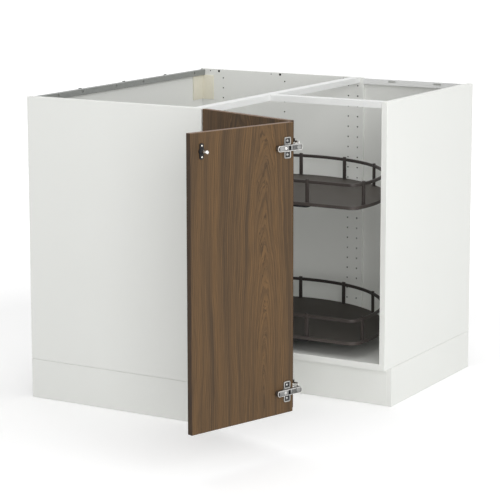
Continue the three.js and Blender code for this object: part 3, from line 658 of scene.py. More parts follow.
@dataclass(frozen=True)
class HoleShadeBoard(Coating):
    """The foil of the drilled end panel, with painted shade, near black, on the walls inside its holes."""

    # near-black painted shade for the holes' walls
    hole_shade: Colour = (0.012, 0.010, 0.009)
    face: float = 934.5  # plan y of the drilled face
    end: float = 592.0  # plan x of the board's end
    rim: float = 1.2  # of the outer faces that keeps its foil
    skin: float = 0.05  # the painted hole shade starts this far under the face

    def principled(self, material: Material, effect: Node, g: Graph) -> None:
        """Paints near-black shade on what lies under the drilled face and within the board's outer faces,
        so the holes' walls look shaded.
        """
        super().principled(material, effect, g)
        parts = g.add("SeparateXYZ", {0: effect.inputs["Vector"].links[0].from_socket}).outputs
        low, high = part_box("drilled_end_panel")
        rim = self.rim * MM
        spans = (
            (parts[0], low.x + rim, (self.end - PLAN_ORIGIN[0]) * MM - rim),
            (parts[1], (self.face + self.skin - PLAN_ORIGIN[1]) * MM, high.y - rim),
            (parts[2], low.z + rim, high.z - rim),
        )
        inside: object = 1.0
        for part, least, most in spans:
            above, below = g.maths("GREATER_THAN", part, least), g.maths("LESS_THAN", part, most)
            inside = g.maths("MULTIPLY", inside, g.maths("MULTIPLY", above, below))
        # painted shade: near black wherever the holes' walls lie
        colour = g.blend(inside, effect.outputs["Color"], rgba(self.hole_shade))
        g.tree.links.new(colour, principled_node(material).inputs["Base Color"])


@dataclass(frozen=True)
class Plating(Finish):
    """Plated steel."""

    def effect(self, g: Graph, place: NodeSocket) -> Node:
        """Brushing with this plating's values."""
        return Brushing.place(
            g, Vector=place, Light=rgba(self.light), Dark=rgba(self.dark), Roughness=self.roughness,
            Spread=self.spread,
        )


@dataclass(frozen=True)
class Zinc(Finish):
    """Hot-dip galvanised sheet."""

    def effect(self, g: Graph, place: NodeSocket) -> Node:
        """Spangle with this sheet's colours."""
        return Spangle.place(g, Vector=place, Scale=150.0, Light=rgba(self.light), Dark=rgba(self.dark))


@dataclass(frozen=True)
class Veneer(Finish):
    """Walnut decor on one leaf, with banded edges whose colour differs by edge as painted light and shade:
    the pin edge and the top lighter, the free edge and the bottom near black.

    The pattern's axes follow the leaf: Mapping turns the leaf back to where it is closed, X across.
    """

    middle: Colour = (0.15, 0.09, 0.05)
    lit_pin_band: Colour = (0.25, 0.125, 0.05)  # banding of the edge at X zero, lighter: painted light
    # banding of the free edge and the bottom, near black: painted shade
    shaded_free_band: Colour = (0.030, 0.018, 0.011)
    # banding of the top edge, lighter: painted light
    lit_end_band: Colour = (0.21, 0.135, 0.09)
    turn: float = 0.0
    corner: Pair = (0.0, 0.0)  # plan place of the leaf's edge where X is zero, closed
    size: Pair = (343.0, 759.0)
    bottom: float = 115.8
    arch: float = 90.0
    depth: float = 10.0
    taper: float = 0.06
    ring: float = 4.6
    edge: float = 0.75

    def effect(self, g: Graph, place: NodeSocket) -> Node:
        """Wood figure in the leaf's own axes."""
        angle = SWING_AT_REST + self.turn
        pin = (SWING_PIN - PLAN_ORIGIN)[:2] * MM
        corner = (np.array(self.corner) - PLAN_ORIGIN[:2]) * MM

        def rotated(v: np.ndarray, a: float) -> np.ndarray:
            """A plan vector turned by an angle."""
            c, s = math.cos(a), math.sin(a)
            return np.array([c * v[0] - s * v[1], s * v[0] + c * v[1]])

        # The swing brings the leaf to its closed place, and the second turn lays its width along X.
        shift = rotated(pin - rotated(pin, SWING_AT_REST) - corner, self.turn)
        inputs = {
            "Vector": place,
            "Location": (*shift, -self.bottom * MM),
            "Rotation": (0.0, 0.0, angle),
        }
        board = g.add("Mapping", inputs).outputs[0]
        return WoodFigure.place(
            g, Vector=board, Arch_Centre=self.arch * MM, Depth=self.depth * MM, Taper=self.taper,
            Ring=self.ring * MM, Light=rgba(self.light), Middle=rgba(self.middle), Dark=rgba(self.dark),
        )

    def principled(self, material: Material, effect: Node, g: Graph) -> None:
        """Colours the leaf's edges with their banding before the shader; the banding's colours per edge are
        painted light and shade.
        """
        super().principled(material, effect, g)
        parts = g.add("SeparateXYZ", {0: effect.inputs["Vector"].links[0].from_socket}).outputs
        width, height = (s * MM for s in self.size)

        def banded(colour: object, distance: object, band: Colour) -> NodeSocket:
            """The colour, with most of the banding's where an edge is nearer than the banding is thick."""
            near = g.maths("LESS_THAN", distance, self.edge * MM)
            return g.blend(g.maths("MULTIPLY", near, 0.8), colour, rgba(band))

        # painted light and shade: each edge's banding colour
        colour = banded(effect.outputs["Color"], g.maths("SUBTRACT", height, parts[2]), self.lit_end_band)
        colour = banded(colour, parts[2], self.shaded_free_band)
        colour = banded(colour, parts[0], self.lit_pin_band)
        colour = banded(colour, g.maths("SUBTRACT", width, parts[0]), self.shaded_free_band)
        g.tree.links.new(colour, principled_node(material).inputs["Base Color"])


FOIL = {
    "slot": Slot.WHITE_FOIL, "light": (0.845, 0.855, 0.825), "dark": (0.825, 0.835, 0.805),
    "spread": 0.12, "bump": 0.012, "specular": 0.3, "cloud": 3.5, "tooth": 1300.0,
}
WHITE_FOIL = Coating("white_foil_matt", **FOIL)
DRILLED_FOIL_HOLE_SHADE = HoleShadeBoard("white_foil_drilled_hole_shade", **FOIL)
WHITE_PAINT = Coating(
    "white_powder_coat", Slot.WHITE_STEEL, (0.84, 0.85, 0.84), (0.79, 0.80, 0.79), 0.38, 0.15,
    bump=0.03, cloud=9.0, tooth=700.0,
)
ZINC = Zinc("zinc_spangle", Slot.GALVANISED, (0.36, 0.37, 0.36), (0.30, 0.31, 0.30), metallic=0.6)
CREAM = Coating(
    "cream_moulding", Slot.CREAM_PLASTIC, (0.83, 0.80, 0.68), (0.76, 0.73, 0.61), 0.5, 0.1,
    bump=0.03, cloud=30.0, tooth=650.0,
)
BLACK = Coating(
    "black_moulding", Slot.BLACK_PLASTIC, (0.022, 0.022, 0.023), (0.012, 0.012, 0.013), 0.45, 0.15,
    bump=0.03, specular=0.22, cloud=25.0, tooth=700.0,
)
GREY_BOARD = Coating(
    "dark_tray_laminate", Slot.GREY_BOARD, (0.082, 0.073, 0.064), (0.070, 0.063, 0.055), 0.5, 0.12,
    bump=0.035, specular=0.08, cloud=8.0, tooth=520.0,
)
TRAY_EDGE = Coating(
    "brown_grey_tray_edge", Slot.GREY_BOARD, (0.083, 0.070, 0.064), (0.062, 0.053, 0.049), 0.42, 0.12,
    bump=0.02, specular=0.25, cloud=20.0, tooth=800.0,
)
GREY_PAINT = Coating(
    "brown_grey_powder_coat", Slot.GREY_STEEL, (0.060, 0.050, 0.046), (0.044, 0.037, 0.034), 0.42, 0.15,
    bump=0.03, specular=0.3, cloud=20.0, tooth=800.0,
)
NICKEL = Plating(
    "nickel_plate", Slot.NICKEL, (0.80, 0.79, 0.77), (0.66, 0.65, 0.63), 0.2, 0.2, 1.0, 0.01,
)
SATIN = Plating(
    "satin_nickel", Slot.NICKEL, (0.50, 0.50, 0.48), (0.34, 0.34, 0.33), 0.38, 0.3, 1.0, 0.02,
)
HINGE_GREY = Plating(
    "grey_hinge_steel", Slot.NICKEL, (0.32, 0.32, 0.31), (0.21, 0.21, 0.21), 0.36, 0.3, 1.0, 0.02,
)
SCREW = Plating(
    "pale_screw_steel", Slot.NICKEL, (0.86, 0.84, 0.76), (0.72, 0.70, 0.62), 0.26, 0.2, 0.8, 0.01,
)
# near-black painted shade for the hinge plates' sunk fields and the arms' hollows
PAINTED_SHADE_STEEL = Coating(
    "painted_shade_hinge_recess", Slot.NICKEL, (0.035, 0.035, 0.037), (0.018, 0.018, 0.019), 0.35, 0.1,
    metallic=0.6, bump=0.01, cloud=60.0,
)
OUTER_WALNUT = Veneer(
    "walnut_outer_leaf", Slot.WALNUT, (0.150, 0.086, 0.038), (0.042, 0.029, 0.019), bump=0.03,
    specular=0.16, middle=(0.102, 0.063, 0.033), corner=(608.0, 353.5), arch=98.0, depth=2.0,
    taper=0.075, ring=5.6,
)
# The inner leaf's colours are the outer leaf's made about 15 % darker: painted shade for the corner between
# the two leaves.
SHADED_INNER_WALNUT = Veneer(
    "walnut_inner_leaf_shaded", Slot.WALNUT, (0.128, 0.073, 0.033), (0.036, 0.025, 0.017), bump=0.03,
    specular=0.16, middle=(0.084, 0.053, 0.028), turn=-math.pi / 2, corner=(599.0, 1.5), arch=150.0,
    depth=22.0, ring=5.2,
)


# ---- The maker ----------------------------------------------------------------------------------


class Maker:
    """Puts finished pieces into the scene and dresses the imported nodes."""

    def __init__(self) -> None:
        """Counts what is made."""
        self.made = 0

    def add(
        self,
        name: str,
        shell: Shell,
        body: Body,
        finish: Finish,
        *replaced: str,
        more: tuple[Finish, ...] = (),
    ) -> None:
        """Adds one piece.

        Args:
            name: the piece's name.
            shell: its surfaces.
            body: the body that it moves with.
            finish: its main finish.
            replaced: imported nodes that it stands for.
            more: further finishes, for the faces that have their index.
        """
        piece = bpy.data.objects.new(name, shell.mesh(name))
        bpy.context.scene.collection.objects.link(piece)
        for f in (finish, *more):
            piece.data.materials.append(f.material())
        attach(piece, body.value)
        if replaced:
            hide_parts(*replaced)
        self.made += 1
        log.info("piece %s: %d faces, rides on %s", name, len(piece.data.polygons), body.value)

    def dress(self, finish: Finish, *nodes: str) -> None:
        """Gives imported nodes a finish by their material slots."""
        for name in nodes:
            for material_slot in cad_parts[name].material_slots:
                material_slot.material = finish.material()
            log.info("node %s: %s", name, finish.name)


def screw_head(
    shell: Shell, at: Point, out: Point, radius: float,
    height: float = 1.2, recess: float = 0.9,
) -> None:
    """Adds a screw's domed head with a cross recess.

    The height over the rim at (x, y) is h (1 - (r / R)^2), lowered by the recess where the smaller of
    |x| and |y| is under a sixth of the radius and r is under 0.6 R.

    Args:
        shell: the shell that gets the head.
        at: the middle of its underside.
        out: direction of its top.
        radius: of the head.
        height: of the dome.
        recess: depth of the cross.
    """
    shares, rim = (1.0, 1.0, 0.92, 0.78, 0.6, 0.44, 0.28, 0.16, 0.05), 0.3
    rows = turned([(radius * s, 0.0) for s in shares], 24)
    x, y = rows[..., 0], rows[..., 1]
    r = np.hypot(x, y)
    rise = height * (1 - (r / radius) ** 2) + rim
    cross = (np.minimum(abs(x), abs(y)) < radius / 6) & (r < 0.6 * radius)
    rows[..., 2] = np.where(cross, rise - recess, rise)
    rows[0, :, 2] = 0.0
    axis = unit(np.array(out, float))
    helper = np.array([0.0, 1.0, 0.0]) if abs(axis[1]) < 0.9 else np.array([1.0, 0.0, 0.0])
    side = unit(np.cross(helper, axis))
    shell.loops(np.array(at, float) + rows @ np.stack([side, np.cross(axis, side), axis]))


# ---- Carcass ------------------------------------------------------------------------------------


@dataclass
class Carcass:
    """Boards, rails and the corner bracket."""

    bracket_height: Pair = (778.5, 856.5)
    bracket_corner: Pair = (7.6, 934.2)
    wall_leg: float = 58.0
    panel_leg: float = 44.0
    thickness: float = 3.0
    screw_height: float = 869.0
    screw_inset: float = 12.0  # of the rails' screws behind the front planes
    tab: float = 20.0  # of a rail's end tab from the walls' outer faces
    screw_radius: float = 3.4

    def bracket(self, maker: Maker) -> None:
        """The moulded bracket in the back corner: a plain L with rounded edges."""
        x0, y1 = self.bracket_corner
        t = self.thickness
        corners = [
            (x0, y1), (x0, y1 - self.wall_leg), (x0 + t, y1 - self.wall_leg), (x0 + t, y1 - t),
            (x0 + self.panel_leg, y1 - t), (x0 + self.panel_leg, y1),
        ]
        shell = Shell()
        shell.loops(slab(rounded(corners, 0.7, 3), self.bracket_height, 0.7))
        maker.add("corner_bracket_moulding", shell, Body.CABINET, CREAM, "corner_bracket")

    def rail_screws(self, maker: Maker) -> None:
        """Three small screws that hold the front rails' end tabs."""
        shell = Shell()
        front, far = FRONT - self.screw_inset, WALL - self.tab
        side_front = SIDE_FRONT + self.screw_inset
        for x, y, out in (
            (front, self.tab, (0, 1, 0)), (front, far, (0, -1, 0)), (far, side_front, (-1, 0, 0)),
        ):
            screw_head(shell, (x, y, self.screw_height), out, self.screw_radius)
        maker.add("rail_screws", shell, Body.CABINET, SCREW)

    def build(self, maker: Maker) -> None:
        """Dresses the boards and rails and adds the finer pieces."""
        maker.dress(
            WHITE_FOIL, "left_end_panel", "right_end_panel", "left_back", "rear_back", "main_bottom",
            "side_bottom", "left_plinth", "front_plinth", "side_front_plinth", "right_plinth",
        )
        maker.dress(DRILLED_FOIL_HOLE_SHADE, "drilled_end_panel")
        maker.dress(WHITE_PAINT, "long_front_rail", "short_front_rail", "rear_wall_rail")
        maker.dress(ZINC, "left_wall_rail")
        clips = [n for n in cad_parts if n.startswith("plinth_clip_")]
        maker.dress(BLACK, *clips)
        self.bracket(maker)
        self.rail_screws(maker)


@dataclass
class Leg:
    """One adjustable leg with its foot."""

    where: str
    x: float
    y: float
    top: float = 114.3
    flutes: int = 16
    flute_depth: float = 0.7
    thread_radius: float = 8.55
    thread_depth: float = 0.4
    thread_pitch: float = 4.0
    grips: int = 20

    def tube(self, maker: Maker) -> None:
        """The upper part: r falls by the flute depth times (1 + cos 16a) / 2 below the flange."""
        t = self.top
        profile = [
            (9.3, 90.0), (9.3, 31.0), (10.3, 30.0), (16.2, 30.0), (17.0, 31.0), (17.4, 36.0), (18.2, 48.0),
            (19.0, 60.0), (19.0, 80.0), (19.0, t - 12), (22.5, t - 8.8), (27.0, t - 6.2), (31.0, t - 4.6),
            (32.0, t - 3.6), (32.0, t - 0.6), (31.4, t), (12.0, t),
        ]

        def flutes(angle: np.ndarray, height: np.ndarray) -> np.ndarray:
            """Grooves down the tube, fading out towards both ends."""
            fade = np.clip((height - 32) / 12, 0, 1) * np.clip((t - 14 - height) / 10, 0, 1)
            return -self.flute_depth * fade * (1 + np.cos(self.flutes * angle)) / 2 * (height > 31)

        outer = turned(profile[2:], 96, (self.x, self.y, 0), ripple=flutes)
        inner = turned(profile[:2][::-1], 96, (self.x, self.y, 0))
        shell = Shell().loops(np.concatenate([inner[::-1], outer]))
        name = f"leg_{self.where}"
        maker.add(f"{name}_tube", shell, Body.CABINET, BLACK, name)

    def foot(self, maker: Maker) -> None:
        """The screwed foot: a thread r = R + d sin(2 pi h / pitch - a) over a disc with grips."""
        disc = [
            (24.0, 0.0), (28.5, 0.0), (29.6, 0.8), (30.0, 2.0), (30.0, 7.0), (29.4, 8.0), (27.5, 8.3),
            (15.0, 12.2), (13.0, 13.2), (12.6, 15.4), (9.2, 16.2),
        ]
        heights = np.linspace(17.0, 88.5, 80)
        spindle = [(self.thread_radius, h) for h in heights] + [(8.0, 89.6), (6.5, 90.0)]
        grips = grooves(0.5, self.grips, 1, 8.2)

        def relief(angle: np.ndarray, height: np.ndarray) -> np.ndarray:
            """Finger grips round the disc and the thread on the spindle."""
            thread = self.thread_depth * np.sin(2 * np.pi * height / self.thread_pitch - angle)
            return grips(angle, height) + thread * ((height > 16.5) & (height < 89))

        rows = turned(disc + spindle, 80, (self.x, self.y, 0), ripple=relief)
        name = f"foot_{self.where}"
        maker.add(f"{name}_moulding", Shell().loops(rows), Body.CABINET, BLACK, name)

    def build(self, maker: Maker) -> None:
        """Adds both parts."""
        self.tube(maker)
        self.foot(maker)


# ---- Pole and trays -----------------------------------------------------------------------------


@dataclass
class Pole:
    """The upright pole with its foot, cap and the collars under the trays."""

    x: float = 476.25
    y: float = 476.25
    base: float = 132.3
    top: float = 705.0
    radius: float = 16.0
    screws: int = 4  # in the foot, on a circle
    screw_circle: float = 56.0
    screw_radius: float = 5.0
    collar_tops: dict[str, float] = field(default_factory=lambda: {"lower": 151.9, "upper": 543.5})

    def build(self, maker: Maker) -> None:
        """Adds the pole's pieces as turned surfaces."""
        at = (self.x, self.y, 0)
        b, t, r = self.base, self.top, self.radius
        flange = [
            (72.0, b), (74.4, b + 0.6), (75.0, b + 1.6), (74.6, b + 2.8), (73.0, b + 3.6), (68.0, b + 4.0),
            (20.5, b + 4.0), (18.6, b + 4.6), (17.4, b + 6.4), (17.0, b + 9.0), (13.0, b + 9.2),
        ]
        shell = Shell().loops(turned(flange, 96, at))
        maker.add("pole_foot_flange", shell, Body.CABINET, GREY_PAINT, "pole_foot")
        screws = Shell()
        for k in range(self.screws):
            a = math.radians(45 + 360 / self.screws * k)
            x, y = self.x + self.screw_circle * math.cos(a), self.y + self.screw_circle * math.sin(a)
            screw_head(screws, (x, y, b + 3.8), (0, 0, 1), self.screw_radius)
        maker.add("pole_foot_screws", screws, Body.CABINET, SCREW)
        body = [(13.9, b + 4.2), (15.6, b + 4.2), (r, b + 4.8), (r, t - 0.6), (15.6, t), (13.9, t)]
        maker.add("pole_tube", Shell().loops(turned(body, 72, at)), Body.CABINET, GREY_PAINT, "pole")
        cap = [
            (13.4, t - 29.8), (13.6, t - 0.2), (16.0, t + 0.1), (16.0, t + 1.6), (15.3, t + 2.6),
            (13.5, t + 3.0), (10.0, t + 3.0), (9.6, t + 2.5), (5.0, t + 2.5),
        ]
        maker.add("pole_cap_moulding", Shell().loops(turned(cap, 72, at)), Body.CABINET, BLACK, "pole_cap")
        for level, z in self.collar_tops.items():
            knurl = [
                (16.3, z - 12.0), (23.6, z - 12.0), (25.4, z - 11.2), (26.0, z - 10.0), (26.0, z - 2.0),
                (25.4, z - 0.8), (23.6, z), (16.3, z),
            ]
            rows = turned(knurl, 216, at, ripple=grooves(0.45, 36, z - 11, z - 1))
            shell = Shell().loops(rows, endless=True)
            maker.add(f"{level}_collar_moulding", shell, Body.CABINET, BLACK, f"{level}_collar")


@dataclass
class Carousel:
    """One turning tray with its band, posts and the carrier under it."""

    level: Level
    base: float
    radius: float = 381.0
    notch: float = 90.0
    corner: float = 30.0
    thickness: float = 10.0
    sunk: float = 1.4  # of the tray's floor under its rim
    band_inset: float = 8.0
    band_level: float = 69.5  # of the band's axis above the tray's underside
    band_size: Pair = (6.0, 9.5)  # thickness in plan, height
    band_edge: float = 1.8
    post_size: Pair = (10.0, 7.0)  # along the band, across it
    post_rise: float = 3.0  # of a post's top above the band's
    first_posts: Pair = (-5.7, 24.8)  # degrees
    posts_per_side: int = 5
    notch_post: float = 214.0  # of the posts on the notch's straight edges from the pole
    sleeve: float = 24.0
    wing_end: float = 217.0
    wing_width: float = 44.0
    rib_pitch: int = 22

    @property
    def body(self) -> Body:
        """The body that all of it turns with."""
        return Body(f"{self.level.value}_carousel")

    def place(self) -> Placement:
        """Axes about the pole with the tray's underside at zero."""
        return Placement(origin=(Pole.x, Pole.y, self.base))

    def outline(self, inset: float, steps: int = 200, corner_steps: int = 14) -> np.ndarray:
        """Three quarters of a disc with rounded corners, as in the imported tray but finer.

        Args:
            inset: how far inside the tray's edge it is drawn.
            steps: intervals round the disc.
            corner_steps: intervals round each corner.

        Returns:
            (n, 2) points about the pole, anticlockwise.
        """
        radius, edge = self.radius - inset, self.notch - inset
        corner, inner = self.corner - inset, self.corner + inset
        reach = math.sqrt((radius - corner) ** 2 - (edge - corner) ** 2)
        lean = math.atan2(edge - corner, reach)
        half = math.pi / 2

        def arc(cx: float, cy: float, r: float, a: float, b: float, n: int) -> np.ndarray:
            """Points on an arc from angle a to angle b."""
            t = np.linspace(a, b, n + 1)
            return np.stack([cx + r * np.cos(t), cy + r * np.sin(t)], 1)

        first = arc(0, 0, radius, -lean, 3 * half + lean, steps)
        second = arc(edge - corner, -reach, corner, 3 * half + lean, 4 * half, corner_steps)[1:]
        third = arc(edge + inner, -edge - inner, inner, 2 * half, half, corner_steps)
        fourth = arc(reach, corner - edge, corner, -half, -lean, corner_steps)[:-1]
        return np.concatenate([first, second, third, fourth])

    def tray(self, maker: Maker) -> None:
        """The tray: loops from the sleeve's hole over the floor, round the rim and back underneath.

        Each floor loop is hole * (1 - s) + outline * s, with the hole's point at the outline's angle.
        """
        t = self.thickness
        inner = self.outline(4.2)
        angle = np.arctan2(inner[:, 1], inner[:, 0])
        hole = (self.sleeve + 0.4) * np.stack([np.cos(angle), np.sin(angle)], 1)
        below = self.outline(1.5)
        shares = np.linspace(0, 1, 7)
        floor = stacked(lambda s: hole * (1 - s) + inner * s, [(s, t - self.sunk) for s in shares])
        rim = [
            (3.6, t - 1.3), (3.2, t - 0.9), (2.9, t - 0.3), (2.4, t), (1.2, t), (0.5, t - 0.25),
            (0.12, t - 0.7), (0.0, t - 1.4), (0.0, t - 3.8), (0.35, t - 4.2), (0.35, t - 4.7),
            (0.0, t - 5.1), (0.0, 1.2), (0.3, 0.4), (1.0, 0.0),
        ]
        edge = stacked(self.outline, rim)
        under = stacked(lambda s: hole * (1 - s) + below * s, [(s, 0.0) for s in shares[::-1]])
        rows = np.concatenate([floor, edge, under])
        bands = np.zeros(len(rows), int)
        bands[len(floor) - 1 : len(floor) + len(edge) - 1] = 1
        shell = Shell(self.place()).loops(rows, endless=True, finish=bands)
        name = f"{self.level.value}_tray"
        maker.add(f"{name}_board", shell, self.body, GREY_BOARD, name, more=(TRAY_EDGE,))

    def post_places(self) -> np.ndarray:
        """Plan places of the posts, alike on both sides of the tray's diagonal.

        Returns:
            (n, 3) values: x and y about the pole, and the band's direction there in radians.
        """
        edge = self.notch - self.band_inset
        step = (135 - self.first_posts[1]) / (self.posts_per_side - 0.5)
        side = [self.first_posts[0], *(self.first_posts[1] + step * np.arange(self.posts_per_side))]
        a = np.radians(side + [270 - s for s in side])
        radius = self.radius - self.band_inset
        arc = np.stack([radius * np.cos(a), radius * np.sin(a), a + np.pi / 2], 1)
        inner = edge + (self.corner + self.band_inset) * (1 - math.sqrt(0.5))
        straight = [
            (self.notch_post, -edge, 0.0), (edge, -self.notch_post, np.pi / 2), (inner, -inner, np.pi / 4),
        ]
        return np.concatenate([arc, straight])

    def gallery(self, maker: Maker) -> None:
        """The band is a rounded bar on edge along the outline; each post is a flat bar on a small pad."""
        path = self.outline(self.band_inset, 160, 10)
        path = np.column_stack([path, np.full(len(path), self.band_level)])
        keep = np.linalg.norm(path - np.roll(path, 1, 0), axis=1) > 0.2
        wide, high = (s / 2 for s in self.band_size)
        section = bar_outline((-wide, wide), (-high, high), self.band_edge, 4)(0.0)
        shell = Shell(self.place()).loops(tube(path[keep], section, True), endless=True)
        floor, top = self.thickness - self.sunk, self.band_level + high + self.post_rise
        across, deep = (s / 2 for s in self.post_size)
        bar = bar_outline((-across, across), (-deep, deep), 1.2, 3)
        pad = bar_outline((-across - 1.1, across + 1.1), (-deep - 1.1, deep + 1.1), 1.6, 3)
        for x, y, direction in self.post_places():
            shell.loops(slab(moved(bar, (x, y), direction), (floor, top), 0.8))
            shell.loops(slab(moved(pad, (x, y), direction), (floor, floor + 2.2), 0.6))
        name = f"{self.level.value}_gallery"
        maker.add(f"{name}_rail", shell, self.body, GREY_PAINT, name)

    def carrier(self, maker: Maker) -> None:
        """The moulding under the tray: a disc, two ribbed wings and the fluted sleeve."""
        disc = [
            (17.0, -5.0), (60.6, -5.0), (61.7, -4.4), (62.0, -3.4), (62.0, -0.4), (61.6, 0.0), (17.0, 0.0),
        ]
        shell = Shell(self.place()).loops(turned(disc, 72), endless=True)
        top, low, far, broad = -0.15, -4.8, self.wing_end, self.wing_width
        edge = 1 - self.notch
        wing = bar_outline((-62.0, far), (edge, edge + broad), 6)
        starts = range(70, int(far) - 7, self.rib_pitch)
        ribs = [bar_outline((x, x + 2.2), (edge + 5, edge + broad - 5), 0.6, 2) for x in starts]
        spine = bar_outline((40.0, far - 8), (edge + 20.5, edge + 23.5), 0.8, 2)

        def mirrored(outline: Outline) -> Outline:
            """The same outline on the other side of the tray's diagonal."""
            return lambda inset: -outline(inset)[::-1, ::-1]

        for turn in (lambda o: o, mirrored):
            shell.loops(slab(turn(wing), (low, top), 0.8))
            for rib in (*ribs, spine):
                shell.loops(slab(turn(rib), (low - 1.2, low + 0.4), 0.4, 2))
        sleeve = [
            (16.6, -18.6), (17.2, -19.0), (22.8, -19.0), (23.8, -18.2), (24.0, -17.0), (24.0, 34.4),
            (23.4, 35.6), (22.4, 36.0), (17.2, 36.0), (16.6, 35.5),
        ]
        plain, fluted = turned(sleeve, 120), turned(sleeve, 120, ripple=grooves(0.35, 24, -18, 35))
        bore = np.linalg.norm(fluted[..., :2], axis=-1)[:, :1, None] < 17.5
        shell.loops(np.where(bore, plain, fluted), endless=True)
        name = f"{self.level.value}_carrier"
        maker.add(f"{name}_moulding", shell, self.body, BLACK, name)

    def build(self, maker: Maker) -> None:
        """Adds the tray, the gallery and the carrier."""
        self.tray(maker)
        self.gallery(maker)
        self.carrier(maker)


# ---- Hinges -------------------------------------------------------------------------------------


@dataclass
class ArmAndPlate:
    """A cross mounting plate and the arm clipped over it.

    Its axes: along the arm towards the pin, up, and out of the face that carries it. The arm's pin end
    of the straight part is at zero along.
    """

    place: Placement
    body: Body
    name: str
    length: float = 62.5
    height: float = 16.0
    plate: float = 2.5
    rise: float = 9.5
    plate_middle: float = -22.0
    plate_size: Pair = (22.5, 55.0)
    wall: float = 1.6
    lands: tuple[Pair, ...] = ((-55.5, -25.0), (-17.2, -11.5))
    ribs: int = 5
    first_rib: float = -9.4
    rib_pitch: float = 2.3
    rib: float = 1.3
    screw_at: float = -35.0

    def wings(self, maker: Maker) -> None:
        """The plate: an upright bar with a raised rim round a sunk field at each end; the fields are
        near-black plates of painted shade.
        """
        w, h = self.plate_size
        x = (self.plate_middle - w / 2, self.plate_middle + w / 2)
        shell = Shell(self.place).bar(x, (-h / 2, h / 2), (0.0, 1.3), 4.5, 0.3, 7)
        shaded_fields, screws = Shell(self.place), Shell(self.place)
        rim = [(0.0, 0.8), (0.0, 2.4), (0.3, 3.0), (0.9, 3.2), (2.2, 3.2), (2.9, 2.9), (3.3, 1.0)]
        within = (x[0] + 3.0, x[1] - 3.0)
        for sign in (-1, 1):
            low, high = sorted((sign * (self.height / 2 - 1.0), sign * h / 2))
            shell.loops(stacked(bar_outline(x, (low, high), 4.5, 7), rim), endless=True)
            middle = sign * (self.height / 2 + (h - self.height) / 4)
            # painted shade: a near-black plate in each sunk field
            shaded_fields.bar(within, (middle - 6.6, middle + 6.6), (1.2, 1.55), 2.0, 0.1, steps=1)
            screw_head(screws, (self.plate_middle, middle, 1.5), (0, 0, 1), 3.4, 1.1, 0.8)
        maker.add(f"{self.name}_plate", shell, self.body, SATIN)
        maker.add(f"{self.name}_recess_shade", shaded_fields, self.body, PAINTED_SHADE_STEEL)
        maker.add(f"{self.name}_screws", screws, self.body, SATIN)

    def arm(self, maker: Maker, *replaced: str, tip: float = 0.0) -> None:
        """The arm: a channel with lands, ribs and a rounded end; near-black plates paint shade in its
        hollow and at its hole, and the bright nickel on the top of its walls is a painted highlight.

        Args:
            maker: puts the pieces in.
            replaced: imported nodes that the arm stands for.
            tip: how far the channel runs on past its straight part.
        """
        z0, z1 = self.plate, self.plate + self.rise
        h, w = self.height / 2, self.wall
        ring = bar_outline((-self.length, tip), (-h, h), 6.5 if tip else 3.0, 8)
        section = [
            (0.6, z0 - 0.6), (0.15, z0 + 0.2), (0.0, z0 + 1.2), (0.0, z1 - 1.3), (0.35, z1 - 0.4),
            (1.0, z1), (w, z1), (w + 0.35, z1 - 0.4), (w + 0.4, z1 - 1.6), (w + 0.4, z0),
        ]
        # painted highlight: the channel walls' rounded top gets the bright nickel, the rest the grey steel
        lit_rim = np.array([3 <= band <= 5 for band in range(len(section))], int)
        shell = Shell(self.place).loops(stacked(ring, section), endless=True, finish=lit_rim)
        maker.add(f"{self.name}_channel", shell, self.body, HINGE_GREY, *replaced, more=(NICKEL,))

        across = (-(h - w - 0.2), h - w - 0.2)
        lands = Shell(self.place)
        for span in self.lands:
            lands.bar(span, across, (z0 + 2, z1 - 0.9), 0.8, 0.4, 3)
        for k in range(self.ribs):
            a = self.first_rib + self.rib_pitch * k
            lands.bar((a, a + self.rib), across, (z0 + 2, z1 - 1.4), 0.4, 0.3, 2)
        if tip:
            lands.bar((3.5, tip - 2.2), across, (z0 + 2, z1 - 1.2), 4.6, 0.6, 8)
        maker.add(f"{self.name}_lands", lands, self.body, HINGE_GREY)

        # painted shade: near-black plates along the channel's floor and at its hole
        dark = Shell(self.place)
        dark.bar((1.8 - self.length, -1.8), across, (z0 - 0.2, z0 + 1.9), 1.0, 0.2, 3)
        dark.bar((3.4 - self.length, -56.2), across, (z0 + 1, z1 - 0.5), 0.8, 0.4, 3)
        maker.add(f"{self.name}_hollow_shade", dark, self.body, PAINTED_SHADE_STEEL)

        screw = Shell(self.place)
        screw_head(screw, (self.screw_at, 0.0, z1 - 1.3), (0, 0, 1), 4.0, 0.9, 0.8)
        maker.add(f"{self.name}_fixing_screw", screw, self.body, NICKEL)


